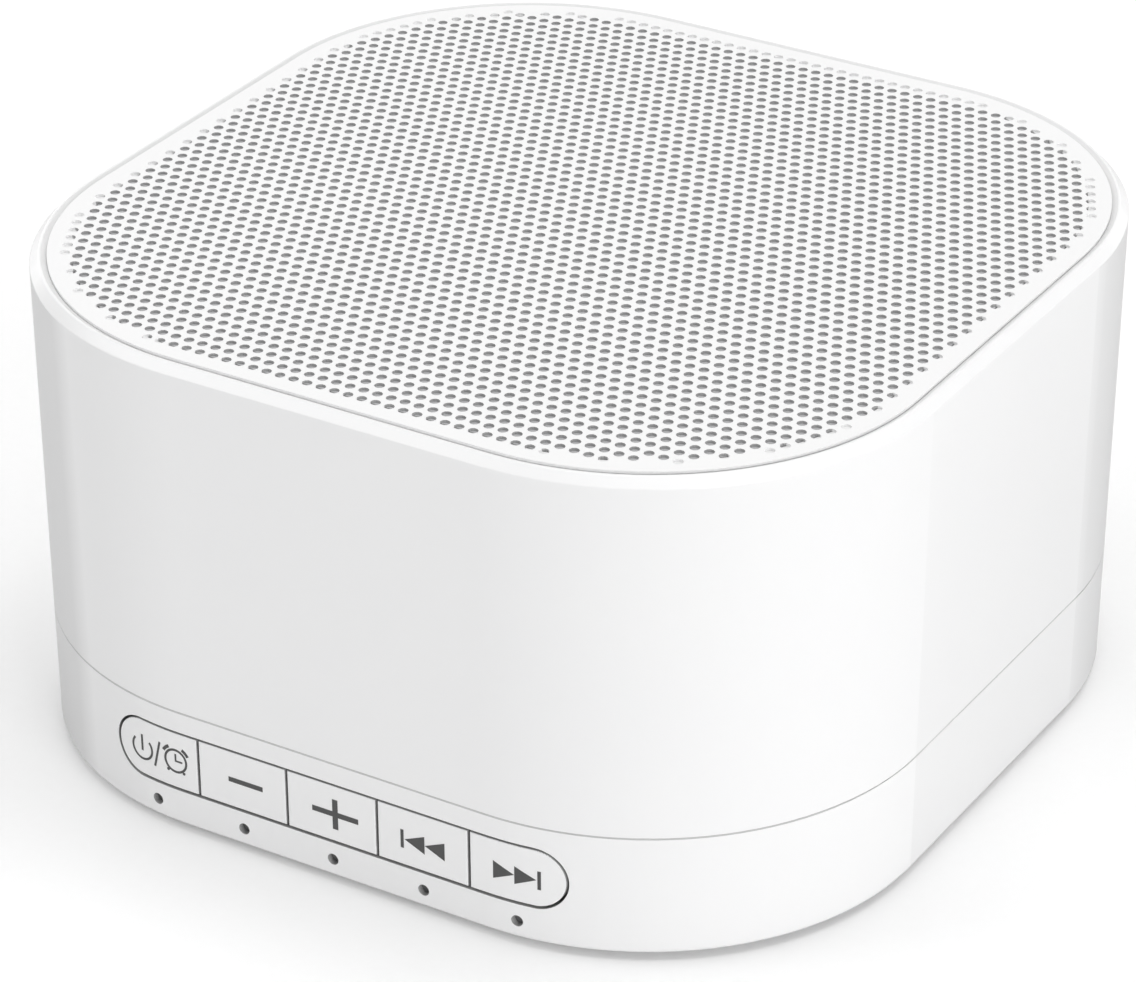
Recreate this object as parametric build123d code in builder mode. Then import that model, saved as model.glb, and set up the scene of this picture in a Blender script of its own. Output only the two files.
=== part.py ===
"""White noise sound machine: a palm-sized box with a perforated top over an upward speaker.

Millimetres, +Z up. The origin is on the table, under the middle of the box. The buttons face -Y.
"""
import os
from math import asin, atan, atan2, cos, degrees, hypot, radians, sin, sqrt, tan

from build123d import *

os.makedirs("parts", exist_ok=True)

# ---- Body -------------------------------------------------------------------------------------
foot_lift = 0.8              # the feet hold the box this far off the table
body_height = 54.4           # bottom face of the box to the top face of the grille
top_width = 101.4            # across the flats at the top edge
flat_width = 37.2            # straight run of each side, between the corner arcs
draft = 0.6                  # degrees; the walls lean in towards the bottom
wall = 2.0
floor_thickness = 1.2
bottom_round = 0.6           # round along the bottom edge
lower_shell_height = 13.8    # bottom face to the seam
seam_bevel = 0.12            # bevel on both shells where they meet
rim_chamfer = 0.95           # outer chamfer round the top
edge_round = 0.2             # soft edges of that chamfer
lip_slope_width = 0.65       # slope from the crest down to the grille
lip_slope_depth = 0.35
label_recess = (42.0, 24.0, 0.2)
label_corner = 2.0

# ---- Clearances -------------------------------------------------------------------------------
fit = 0.15                   # round a part that is dropped or slid into its place
running = 0.3                # between parts that move past each other
screw_fit = 0.05             # between a screw, pin or pipe and its hole, on the radius

# ---- Tongue that lines the two shells up ------------------------------------------------------
tongue_thickness = 0.9
tongue_height = 1.5

# ---- Grille -----------------------------------------------------------------------------------
rim_width = 2.0              # top edge of the shell to the edge of the perforated sheet
sheet_thickness = 0.3
hole_pitch = 3.2             # twice the fine sheet's pitch and hole, with the same open area
hole_diameter = 2.2
hole_margin = 2.35           # edge of the sheet to the outermost hole centres
ledge_reach = 2.3            # how far the ledge reaches in under the sheet
ledge_thickness = 2.0
tape_thickness = 0.2
cloth_thickness = 0.3

# ---- Buttons ----------------------------------------------------------------------------------
button_names = [
    "power_button",
    "volume_down_button",
    "volume_up_button",
    "previous_button",
    "next_button",
]
button_pitch = 11.0
button_gap = 0.3             # between neighbouring buttons, and round them
button_edge_round = 0.15
slot_height = 7.25
slot_centre_height = 7.75    # above the bottom face
pad_depth = 4.2              # front face to the flat inside face round the slot
pad_margin = 0.9             # flat face beyond the slot, above and below
flange_thickness = 1.0
flange_reach = 0.7           # how far the flange hides behind the pad
flange_width = 7.0
stem_diameter = 3.2
stem_length = 3.2
guide_thickness = 1.0
guide_gap = 0.8              # flange to guide plate, more than the button travels

# ---- Switches, indicators and the button board ------------------------------------------------
switch_width = 6.0
switch_depth = 3.4
plunger_diameter = 3.4
plunger_reach = 0.8          # plunger outside the switch
plunger_seat = 0.8           # plunger inside the switch at rest
plunger_well = 1.5
button_board_thickness = 1.2
rail_thickness = 2.0
rail_groove = 1.0
rail_tail = 1.2              # rail beyond the back of the board
indicator_diameter = 1.2
indicator_height = 2.1       # above the bottom face
indicator_recess = 0.65
led_size = (1.6, 0.7, 0.8)
pipe_bar_depth = 1.5
ribbon_width = 12.0
ribbon_thickness = 0.3
ribbon_rise = 6.0            # how far the slack ribbon stands above its two ends
ribbon_bend = 3.0
ribbon_socket_size = (14.0, 2.2, 3.0)

# ---- Main board -------------------------------------------------------------------------------
board_width = 44.0
board_length = 45.0
board_thickness = 1.6
board_lift = 3.0             # height of the standoffs on the floor
board_overhang = 1.8         # mouth of the power inlet beyond the rear edge of the board
board_screw_inset = 3.5
standoff_diameter = 5.0
inlet_size = (9.0, 7.3, 3.2)
inlet_corner = 1.5
inlet_shell = 0.35
inlet_tongue = (6.6, 0.7)
inlet_setback = 0.9          # mouth of the power inlet behind the rear face
inlet_recess = (13.0, 7.0, 0.8)
inlet_recess_corner = 3.0
tongue_setback = 0.8         # tongue of the inlet behind its mouth
processor_size = (10.0, 10.0, 1.4)
amplifier_size = (6.0, 5.0, 1.3)
can_diameter = 6.3
can_height = 7.7
can_spacing = 8.0
power_coil_size = (7.0, 7.0, 3.2)
socket_size = (7.0, 4.6, 6.0)
socket_wall = 0.7
socket_floor = 1.5
plug_height = 7.0
plug_x = -8.0

# ---- Speaker ----------------------------------------------------------------------------------
plate_drop = 6.7             # underside of the ledge to the underside of the speaker plate
plate_thickness = 2.0
plate_margin = 0.5           # round the speaker plate as it drops through the ledge
gasket_thickness = 0.5
flange_size = 52.0
flange_corner = 8.0
speaker_flange_thickness = 1.2
speaker_screw_inset = 4.5    # edge of the flange to its screws
basket_wall = 0.8
basket_inset = 2.1           # edge of the flange to the wide end of the basket
basket_step_width = 2.6      # step that carries the spider
basket_step_depth = 6.5      # flange underside to that step
cup_margin = 0.8             # cup of the basket beyond the magnet
cup_depth = 3.0              # step to the bottom of the basket
basket_window = (14.0, 3.2)
roll_radius = 1.4            # inside radius of the surround's half roll
surround_rim = 2.6           # flat glued to the flange
surround_lip = 1.4           # flat glued to the cone
skin = 0.4                   # thickness of the cone, the surround and the spider
roll_inset = 5.0             # edge of the flange to the middle of the half roll
coil_inner_radius = 6.4
coil_wall = 0.4
coil_gap = 0.35              # pole to coil, and coil to top plate
coil_length = 9.2
dust_cap_radius = 8.0
dust_cap_rise = 2.2
top_plate_inset = 1.0        # edge of the magnet to the edge of the top plate
top_plate_thickness = 3.0
magnet_radius = 16.0
magnet_bore_radius = 9.5
magnet_thickness = 8.0
yoke_inset = 0.5             # edge of the magnet to the edge of the yoke
yoke_thickness = 3.0
terminal_size = (10.0, 1.2, 6.6)
lug_size = (1.6, 2.6, 0.4)
lug_spacing = 6.0
wire_diameter = 1.3
wire_spacing = 2.5           # where the two leads enter the plug
wire_bend = 2.5

# ---- Screws and feet --------------------------------------------------------------------------
post_diameter = 7.5
boss_diameter = 9.2
boss_rail_gap = 0.8          # boss to the rail of the button board
boss_wall_gap = 1.04         # boss to the wall of the box
rib_thickness = 1.6
shell_screw_diameter = 3.0
shell_screw_head = (5.6, 2.4)
shell_screw_length = 14.0
shell_screw_seat = 8.2       # bottom face to the seat of the screw head
head_clearance = 0.4
plate_screw_length = 8.0
small_screw_diameter = 2.2
small_screw_head = (4.2, 1.5)
board_screw_length = 4.2
speaker_screw_length = 5.0
drive_cross = (0.6, 0.8)     # width and depth of the cross in the screw heads
foot_diameter = 11.0
foot_recess = 0.5
foot_round = 0.4

# ---- Heights and half widths that follow ------------------------------------------------------
body_bottom = foot_lift
body_top = body_bottom + body_height
seam_z = body_bottom + lower_shell_height
floor_z = body_bottom + floor_thickness
corner_centre = flat_width / 2
grille_width = top_width - 2 * rim_width
ledge_opening = grille_width - 2 * ledge_reach
hole_field_width = grille_width - 2 * hole_margin
sheet_bottom = body_top - sheet_thickness
cloth_bottom = sheet_bottom - cloth_thickness
ledge_top = sheet_bottom - tape_thickness
ledge_bottom = ledge_top - ledge_thickness
plate_bottom = ledge_bottom - plate_drop
plate_top = plate_bottom + plate_thickness


def half_width(z, inset=0.0):
    """Half of the body's width at height z, moved in by inset."""
    return top_width / 2 - (body_top - z) * tan(radians(draft)) - inset


def body_outline(half, mode=Mode.ADD):
    """Rounded square whose corner arcs share their centres with the body's."""
    RectangleRounded(2 * half, 2 * half, half - corner_centre, mode=mode)


def body_block(low, high, inset=0.0):
    """Solid block of the body's drafted shape between two heights."""
    with BuildPart() as block:
        with BuildSketch(Plane.XY.offset(low)):
            body_outline(half_width(low, inset))
        extrude(amount=high - low, taper=-draft)
    return block.part


def facing(y):
    """Upright plane at this y; what is extruded from it grows towards the front."""
    return Plane.XZ.offset(-y)


def pan_screw(seat_z, head, shank_diameter, shank_length, way):
    """Pan-head screw whose shank runs from its seat along Z: up for way 1, down for way -1."""
    head_diameter, head_height = head
    cross_width, cross_depth = drive_cross
    with BuildPart() as screw:
        with BuildSketch(Plane.XY.offset(seat_z)):
            Circle(head_diameter / 2)
        extrude(amount=-way * head_height)
        with BuildSketch(Plane.XY.offset(seat_z)):
            Circle(shank_diameter / 2)
        extrude(amount=way * shank_length)
        with BuildSketch(Plane.XY.offset(seat_z - way * head_height)):
            Rectangle(cross_width, head_diameter * 0.6)
            Rectangle(head_diameter * 0.6, cross_width)
        extrude(amount=way * cross_depth, mode=Mode.SUBTRACT)
    return screw.part


# ---- Places along Y behind the front face -----------------------------------------------------
slot_z = body_bottom + slot_centre_height
indicator_z = body_bottom + indicator_height
slot_width = len(button_names) * button_pitch
front_y = -half_width(slot_z)
pad_y = front_y + pad_depth
flange_y = pad_y + fit
stem_y = flange_y + flange_thickness
guide_y = stem_y + guide_gap
guide_back = guide_y + guide_thickness
plunger_y = stem_y + stem_length
switch_y = plunger_y + plunger_reach
button_board_y = switch_y + switch_depth
button_board_back = button_board_y + button_board_thickness
rail_inner_x = slot_width / 2 + running + fit + fit
rail_outer_x = rail_inner_x + rail_thickness
button_board_half = rail_inner_x + rail_groove
button_board_top = slot_z + slot_height / 2 + pad_margin
middle_button = (len(button_names) - 1) / 2
button_xs = [(i - middle_button) * button_pitch for i in range(len(button_names))]

# ---- Places of the main board -----------------------------------------------------------------
board_bottom = floor_z + board_lift
board_top = board_bottom + board_thickness
inlet_z = board_top + inlet_size[2] / 2
inlet_mouth_y = half_width(inlet_z) - inlet_setback
board_rear_y = inlet_mouth_y - board_overhang
board_front_y = board_rear_y - board_length
board_centre_y = (board_rear_y + board_front_y) / 2
board_grid_x = board_width - 2 * board_screw_inset
board_grid_y = board_length - 2 * board_screw_inset

# ---- Places of the corner posts: clear of the rails, and out towards the wall -----------------
shell_screw_seat_z = body_bottom + shell_screw_seat
post_bottom = seam_z + running
post_x = rail_outer_x + boss_rail_gap + boss_diameter / 2
post_reach = half_width(floor_z, wall + boss_wall_gap + boss_diameter / 2) - corner_centre
post_y = corner_centre + sqrt(post_reach**2 - (post_x - corner_centre) ** 2)
post_spacing = (2 * post_x, 2 * post_y)
post_angle = degrees(atan2(post_y - corner_centre, post_x - corner_centre))

# ---- Places round the speaker -----------------------------------------------------------------
speaker_screw_spacing = flange_size - 2 * speaker_screw_inset
basket_top_radius = flange_size / 2 - basket_inset
cup_radius = magnet_radius + cup_margin
basket_step_radius = cup_radius + basket_step_width
roll_centre_radius = flange_size / 2 - roll_inset


# ---- Upper shell ------------------------------------------------------------------------------
upper_block = body_block(seam_z, body_top)
upper_cavity = body_block(seam_z, ledge_bottom, wall)
lip_half = grille_width / 2 + fit
lip_slope_angle = degrees(atan(lip_slope_width / lip_slope_depth))
rebate_depth = tongue_height + fit
rib_bottom = seam_z + rebate_depth + fit
rib_end = half_width(seam_z, wall / 2) - corner_centre
rib_middle = (post_reach + rib_end) / 2
rib_x = corner_centre + rib_middle * cos(radians(post_angle))
rib_y = corner_centre + rib_middle * sin(radians(post_angle))

with BuildPart() as upper_shell:
    add(upper_block)
    chamfer(upper_shell.faces().sort_by(Axis.Z)[-1].edges(), rim_chamfer)
    chamfer_edges = upper_shell.edges().filter_by(
        lambda edge: edge.center().Z > body_top - 1.5 * rim_chamfer
        and edge.bounding_box().size.Z < rim_chamfer / 10
    )
    fillet(chamfer_edges, edge_round)
    add(upper_cavity, mode=Mode.SUBTRACT)
    with BuildSketch(Plane.XY.offset(ledge_bottom)):
        body_outline(ledge_opening / 2)
    extrude(amount=ledge_thickness, mode=Mode.SUBTRACT)
    with BuildSketch(Plane.XY.offset(ledge_top)):
        body_outline(lip_half)
    extrude(amount=body_top - ledge_top, mode=Mode.SUBTRACT)
    with BuildSketch(Plane.XY.offset(body_top - lip_slope_depth)):
        body_outline(lip_half)
    extrude(amount=lip_slope_depth, taper=-lip_slope_angle, mode=Mode.SUBTRACT)
    # rebate for the lower shell's tongue
    with BuildSketch(Plane.XY.offset(seam_z)):
        body_outline(half_width(seam_z, wall - tongue_thickness - fit))
    extrude(amount=rebate_depth, mode=Mode.SUBTRACT)
    chamfer(upper_shell.faces().sort_by(Axis.Z)[0].outer_wire().edges(), seam_bevel)
    # corner posts, each tied to the wall by a rib
    with BuildSketch(Plane.XY.offset(post_bottom)):
        with GridLocations(*post_spacing, 2, 2):
            Circle(post_diameter / 2)
    extrude(amount=plate_bottom - post_bottom)
    with BuildSketch(Plane.XY.offset(rib_bottom)):
        for right, back in ((1, 1), (-1, 1), (-1, -1), (1, -1)):
            with Locations((right * rib_x, back * rib_y)):
                Rectangle(rib_end - post_reach, rib_thickness, rotation=right * back * post_angle)
    extrude(amount=plate_bottom - rib_bottom)
    with BuildSketch(Plane.XY.offset(post_bottom)):
        with GridLocations(*post_spacing, 2, 2):
            Circle(shell_screw_diameter / 2 + screw_fit)
    extrude(amount=plate_bottom - post_bottom, mode=Mode.SUBTRACT)
upper_shell.part.label = "upper_shell"
export_step(upper_shell.part, "parts/upper_shell.step")


# ---- Lower shell ------------------------------------------------------------------------------
lower_block = body_block(body_bottom, seam_z)
lower_cavity = body_block(floor_z, seam_z, wall)
pipe_hole_radius = indicator_diameter / 2 + screw_fit

with BuildPart() as button_pad:
    with BuildSketch(facing(pad_y)):
        with Locations((0, slot_z)):
            Rectangle(2 * rail_outer_x, slot_height + 2 * pad_margin)
    extrude(amount=2 * pad_depth)
    add(lower_block, mode=Mode.INTERSECT)

with BuildPart() as lower_shell:
    add(lower_block)
    fillet(lower_shell.faces().sort_by(Axis.Z)[0].edges(), bottom_round)
    chamfer(lower_shell.faces().sort_by(Axis.Z)[-1].edges(), seam_bevel)
    add(lower_cavity, mode=Mode.SUBTRACT)
    # tongue that goes up inside the upper shell
    with BuildSketch(Plane.XY.offset(seam_z)):
        body_outline(half_width(seam_z, wall - tongue_thickness))
        body_outline(half_width(seam_z, wall), Mode.SUBTRACT)
    extrude(amount=tongue_height)
    # thick pad round the button slot, and the grooved rails behind it
    add(button_pad.part)
    with BuildSketch(Plane.XY.offset(floor_z)):
        with GridLocations(rail_inner_x + rail_outer_x, 0, 2, 1):
            with Locations((0, (pad_y + button_board_back + rail_tail) / 2)):
                Rectangle(rail_thickness, button_board_back + rail_tail - pad_y)
    extrude(amount=button_board_top - floor_z)
    for back, thickness in (
        (guide_back, guide_thickness),
        (button_board_back, button_board_thickness),
    ):
        with BuildSketch(facing(back + screw_fit)):
            with Locations((0, floor_z)):
                Rectangle(
                    2 * (button_board_half + fit),
                    button_board_top,
                    align=(Align.CENTER, Align.MIN),
                )
        extrude(amount=thickness + 2 * screw_fit, mode=Mode.SUBTRACT)
    # slot for the buttons and the indicator holes under them
    with BuildSketch(facing(pad_y)):
        with Locations((0, slot_z)):
            SlotOverall(slot_width, slot_height)
    extrude(amount=2 * pad_depth, mode=Mode.SUBTRACT)
    with BuildSketch(facing(pad_y)):
        with Locations(*[(x, indicator_z) for x in button_xs]):
            Circle(pipe_hole_radius)
    extrude(amount=2 * pad_depth, mode=Mode.SUBTRACT)
    # screw bosses, and under each the recess of a foot
    with BuildSketch(Plane.XY.offset(floor_z)):
        with GridLocations(*post_spacing, 2, 2):
            Circle(boss_diameter / 2)
    extrude(amount=seam_z - floor_z)
    with BuildSketch(Plane.XY.offset(body_bottom)):
        with GridLocations(*post_spacing, 2, 2):
            Circle(foot_diameter / 2 + fit)
    extrude(amount=foot_recess, mode=Mode.SUBTRACT)
    with BuildSketch(Plane.XY.offset(body_bottom)):
        with GridLocations(*post_spacing, 2, 2):
            Circle(shell_screw_head[0] / 2 + head_clearance)
    extrude(amount=shell_screw_seat, mode=Mode.SUBTRACT)
    with BuildSketch(Plane.XY.offset(shell_screw_seat_z)):
        with GridLocations(*post_spacing, 2, 2):
            Circle(shell_screw_diameter / 2 + screw_fit)
    extrude(amount=seam_z - shell_screw_seat_z, mode=Mode.SUBTRACT)
    # standoffs of the main board
    with BuildSketch(Plane.XY.offset(floor_z)):
        with Locations((0, board_centre_y)):
            with GridLocations(board_grid_x, board_grid_y, 2, 2):
                Circle(standoff_diameter / 2)
    extrude(amount=board_lift)
    with BuildSketch(Plane.XY.offset(board_bottom)):
        with Locations((0, board_centre_y)):
            with GridLocations(board_grid_x, board_grid_y, 2, 2):
                Circle(small_screw_diameter / 2 + screw_fit)
    extrude(amount=board_thickness - board_screw_length - fit, mode=Mode.SUBTRACT)
    # opening of the power inlet in the rear wall, with a shallow recess for the plug's grip
    with BuildSketch(facing(half_width(inlet_z, inlet_recess[2]))):
        with Locations((0, inlet_z)):
            RectangleRounded(inlet_recess[0], inlet_recess[1], inlet_recess_corner)
    extrude(amount=-2 * inlet_recess[2], mode=Mode.SUBTRACT)
    with BuildSketch(facing(half_width(inlet_z, 2 * wall))):
        with Locations((0, inlet_z)):
            RectangleRounded(inlet_size[0] + 2 * fit, inlet_size[2] + 2 * fit, inlet_corner + fit)
    extrude(amount=-2 * wall, mode=Mode.SUBTRACT)
    # bare label recess under the box
    with BuildSketch(Plane.XY.offset(body_bottom)):
        RectangleRounded(label_recess[0], label_recess[1], label_corner)
    extrude(amount=label_recess[2], mode=Mode.SUBTRACT)
lower_shell.part.label = "lower_shell"
export_step(lower_shell.part, "parts/lower_shell.step")


# ---- Feet and the screws that they hide -------------------------------------------------------
with BuildPart() as feet:
    with BuildSketch():
        with GridLocations(*post_spacing, 2, 2):
            Circle(foot_diameter / 2)
    extrude(amount=foot_lift + foot_recess)
    fillet(feet.faces().sort_by(Axis.Z)[:4].edges(), foot_round)
feet.part.label = "feet"
export_step(feet.part, "parts/feet.step")

shell_screw = pan_screw(
    shell_screw_seat_z, shell_screw_head, shell_screw_diameter, shell_screw_length, 1
)
with BuildPart() as shell_screws:
    with GridLocations(*post_spacing, 2, 2):
        add(shell_screw)
shell_screws.part.label = "shell_screws"
export_step(shell_screws.part, "parts/shell_screws.step")


# ---- Grille -----------------------------------------------------------------------------------
field_half = hole_field_width / 2
row_count = int(field_half / hole_pitch)
hole_places = []
for row in range(-row_count, row_count + 1):
    row_shift = row % 2 / 2
    for column in range(-row_count - 1, row_count + 1):
        hole_x = (column + row_shift) * hole_pitch
        hole_y = row * hole_pitch
        past_x = max(abs(hole_x) - corner_centre, 0)
        past_y = max(abs(hole_y) - corner_centre, 0)
        if hypot(past_x, past_y) <= field_half - corner_centre:
            hole_places.append((hole_x, hole_y))

with BuildSketch(Plane.XY.offset(sheet_bottom)) as sheet_outline:
    body_outline(grille_width / 2)
sheet_edge = sheet_outline.sketch.face().outer_wire()
hole_edges = [
    Wire.make_circle(hole_diameter / 2, Plane((x, y, sheet_bottom))) for x, y in hole_places
]
perforated_face = Face(sheet_edge, hole_edges)

with BuildPart() as grille:
    add(perforated_face)
    extrude(amount=sheet_thickness)
grille.part.label = "grille"
export_step(grille.part, "parts/grille.step")

with BuildPart() as grille_tape:
    with BuildSketch(Plane.XY.offset(ledge_top)):
        body_outline(grille_width / 2)
        body_outline(ledge_opening / 2, Mode.SUBTRACT)
    extrude(amount=tape_thickness)
grille_tape.part.label = "grille_tape"
export_step(grille_tape.part, "parts/grille_tape.step")

with BuildPart() as grille_cloth:
    with BuildSketch(Plane.XY.offset(cloth_bottom)):
        body_outline(ledge_opening / 2 - fit)
    extrude(amount=cloth_thickness)
grille_cloth.part.label = "grille_cloth"
export_step(grille_cloth.part, "parts/grille_cloth.step")


# ---- Buttons and the plungers that they push --------------------------------------------------
for button_name, button_x in zip(button_names, button_xs):
    with BuildPart() as button:
        # cap: its share of the slot, cut flush with the outside of the box
        with BuildSketch(facing(flange_y)):
            with Locations((0, slot_z)):
                SlotOverall(slot_width - 2 * button_gap, slot_height - 2 * button_gap)
            with Locations((button_x, slot_z)):
                Rectangle(button_pitch - button_gap, slot_height, mode=Mode.INTERSECT)
        extrude(amount=2 * pad_depth)
        add(lower_block, mode=Mode.INTERSECT)
        front_faces = button.faces().filter_by(lambda face: face.normal_at().Y < -0.7)
        all_front_edges = front_faces.edges()
        rim_edges = all_front_edges.filter_by(
            lambda edge: sum(edge.is_same(other) for face in front_faces for other in face.edges())
            == 1
        )
        fillet(rim_edges, button_edge_round)
        # flange behind the pad, and the stem that works the switch
        with BuildSketch(facing(stem_y)):
            with Locations((button_x, slot_z)):
                Rectangle(flange_width, slot_height + 2 * flange_reach)
        extrude(amount=flange_thickness)
        with BuildSketch(facing(plunger_y)):
            with Locations((button_x, slot_z)):
                Circle(stem_diameter / 2)
        extrude(amount=stem_length)
    button.part.label = button_name
    export_step(button.part, f"parts/{button_name}.step")

    plunger_name = button_name.replace("button", "switch_plunger")
    with BuildPart() as plunger:
        with BuildSketch(facing(switch_y + plunger_seat)):
            with Locations((button_x, slot_z)):
                Circle(plunger_diameter / 2)
        extrude(amount=plunger_reach + plunger_seat)
    plunger.part.label = plunger_name
    export_step(plunger.part, f"parts/{plunger_name}.step")


# ---- Guide comb, switches, indicators and the board that carries them -------------------------
with BuildPart() as button_guide:
    with BuildSketch(facing(guide_back)):
        with Locations((0, floor_z)):
            Rectangle(
                2 * button_board_half,
                button_board_top - floor_z,
                align=(Align.CENTER, Align.MIN),
            )
        with Locations(*[(x, slot_z) for x in button_xs]):
            Circle(stem_diameter / 2 + running, mode=Mode.SUBTRACT)
        with Locations(*[(x, floor_z) for x in button_xs]):
            Rectangle(
                stem_diameter + 2 * running,
                slot_z - floor_z,
                align=(Align.CENTER, Align.MIN),
                mode=Mode.SUBTRACT,
            )
    extrude(amount=guide_thickness)
button_guide.part.label = "button_guide"
export_step(button_guide.part, "parts/button_guide.step")

with BuildPart() as switch_bodies:
    with BuildSketch(facing(button_board_y)):
        with Locations(*[(x, slot_z) for x in button_xs]):
            Rectangle(switch_width, switch_width)
    extrude(amount=switch_depth)
    with BuildSketch(facing(switch_y)):
        with Locations(*[(x, slot_z) for x in button_xs]):
            Circle(plunger_diameter / 2 + running)
    extrude(amount=-plunger_well, mode=Mode.SUBTRACT)
switch_bodies.part.label = "switch_bodies"
export_step(switch_bodies.part, "parts/switch_bodies.step")

with BuildPart() as button_board:
    with BuildSketch(facing(button_board_back)):
        with Locations((0, floor_z)):
            Rectangle(
                2 * button_board_half,
                button_board_top - floor_z,
                align=(Align.CENTER, Align.MIN),
            )
    extrude(amount=button_board_thickness)
button_board.part.label = "button_board"
export_step(button_board.part, "parts/button_board.step")

led_width, led_depth, led_height = led_size
led_y = button_board_y - led_depth
with BuildPart() as indicator_leds:
    with BuildSketch(facing(button_board_y)):
        with Locations(*[(x, indicator_z) for x in button_xs]):
            Rectangle(led_width, led_height)
    extrude(amount=led_depth)
indicator_leds.part.label = "indicator_leds"
export_step(indicator_leds.part, "parts/indicator_leds.step")

# one clear moulding: a rod for each indicator, joined by a bar behind the front wall
recessed_block = body_block(body_bottom, seam_z, indicator_recess)
pipe_top = indicator_z + indicator_diameter / 2
pipe_bar_y = pad_y + fit - pipe_bar_depth / 2
with BuildPart() as light_pipe:
    with BuildSketch(facing(led_y - fit)):
        with Locations(*[(x, indicator_z) for x in button_xs]):
            Circle(indicator_diameter / 2)
    extrude(amount=led_y - fit - 2 * front_y + pad_y)
    add(recessed_block, mode=Mode.INTERSECT)
    with BuildSketch(facing(pipe_bar_y + pipe_bar_depth)):
        with Locations((0, floor_z)):
            Rectangle(
                4 * button_pitch + 2 * indicator_diameter,
                pipe_top - floor_z,
                align=(Align.CENTER, Align.MIN),
            )
    extrude(amount=pipe_bar_depth)
light_pipe.part.label = "light_pipe"
export_step(light_pipe.part, "parts/light_pipe.step")


# ---- Ribbon between the two boards ------------------------------------------------------------
ribbon_socket_width, ribbon_socket_height, ribbon_socket_depth = ribbon_socket_size
ribbon_grip = ribbon_socket_depth / 2
ribbon_pocket = ribbon_thickness + 2 * screw_fit
front_socket_y = button_board_back + ribbon_socket_height / 2
front_socket_top = slot_z + ribbon_socket_depth / 2
rear_socket_y = board_front_y + 2 * fit
rear_socket_z = board_top + ribbon_socket_height / 2
with BuildPart() as ribbon_sockets:
    # on the back of the button board, with its mouth upwards
    with BuildSketch(Plane.XY.offset(front_socket_top)):
        with Locations((0, front_socket_y)):
            Rectangle(ribbon_socket_width, ribbon_socket_height)
    extrude(amount=-ribbon_socket_depth)
    with BuildSketch(Plane.XY.offset(front_socket_top)):
        with Locations((0, front_socket_y)):
            Rectangle(ribbon_width + 2 * fit, ribbon_pocket)
    extrude(amount=-ribbon_grip - fit, mode=Mode.SUBTRACT)
    # on the front edge of the main board, with its mouth to the front
    with BuildSketch(facing(rear_socket_y)):
        with Locations((0, rear_socket_z)):
            Rectangle(ribbon_socket_width, ribbon_socket_height)
    extrude(amount=-ribbon_socket_depth)
    with BuildSketch(facing(rear_socket_y)):
        with Locations((0, rear_socket_z)):
            Rectangle(ribbon_width + 2 * fit, ribbon_pocket)
    extrude(amount=-ribbon_grip - fit, mode=Mode.SUBTRACT)
ribbon_sockets.part.label = "ribbon_sockets"
export_step(ribbon_sockets.part, "parts/ribbon_sockets.step")

ribbon_top = front_socket_top + ribbon_rise
ribbon_low_y = (front_socket_y + 3 * rear_socket_y) / 4
with BuildPart() as ribbon_cable:
    with BuildSketch(Plane.YZ):
        with BuildLine():
            FilletPolyline(
                (front_socket_y, front_socket_top - ribbon_grip),
                (front_socket_y, ribbon_top),
                (ribbon_low_y, rear_socket_z),
                (rear_socket_y + ribbon_grip, rear_socket_z),
                radius=ribbon_bend,
            )
        trace(line_width=ribbon_thickness)
    extrude(amount=ribbon_width / 2, both=True)
ribbon_cable.part.label = "ribbon_cable"
export_step(ribbon_cable.part, "parts/ribbon_cable.step")


# ---- Main board and what is soldered to it ----------------------------------------------------
with BuildPart() as main_board:
    with BuildSketch(Plane.XY.offset(board_bottom)):
        with Locations((0, board_centre_y)):
            Rectangle(board_width, board_length)
            with GridLocations(board_grid_x, board_grid_y, 2, 2):
                Circle(small_screw_diameter / 2 + screw_fit, mode=Mode.SUBTRACT)
    extrude(amount=board_thickness)
main_board.part.label = "main_board"
export_step(main_board.part, "parts/main_board.step")

board_screw = pan_screw(board_top, small_screw_head, small_screw_diameter, board_screw_length, -1)
with BuildPart() as board_screws:
    with Locations((0, board_centre_y)):
        with GridLocations(board_grid_x, board_grid_y, 2, 2):
            add(board_screw)
board_screws.part.label = "board_screws"
export_step(board_screws.part, "parts/board_screws.step")

chip_y = board_centre_y - board_length / 8
with BuildPart() as board_chips:
    for chip_x, (chip_width, chip_length, chip_height) in (
        (board_width / 4, processor_size),
        (-board_width / 4, amplifier_size),
    ):
        with BuildSketch(Plane.XY.offset(board_top)):
            with Locations((chip_x, chip_y)):
                Rectangle(chip_width, chip_length)
        extrude(amount=chip_height)
board_chips.part.label = "board_chips"
export_step(board_chips.part, "parts/board_chips.step")

can_y = board_rear_y - board_length / 3
with BuildPart() as capacitors:
    with BuildSketch(Plane.XY.offset(board_top)):
        with Locations((board_width * 0.36, can_y)):
            with GridLocations(0, can_spacing, 1, 2):
                Circle(can_diameter / 2)
    extrude(amount=can_height)
    fillet(capacitors.faces().sort_by(Axis.Z)[-2:].edges(), can_diameter / 16)
capacitors.part.label = "capacitors"
export_step(capacitors.part, "parts/capacitors.step")

with BuildPart() as power_coil:
    with BuildSketch(Plane.XY.offset(board_top)):
        with Locations((board_width / 8, can_y)):
            RectangleRounded(power_coil_size[0], power_coil_size[1], power_coil_size[0] / 8)
    extrude(amount=power_coil_size[2])
power_coil.part.label = "power_coil"
export_step(power_coil.part, "parts/power_coil.step")

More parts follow.
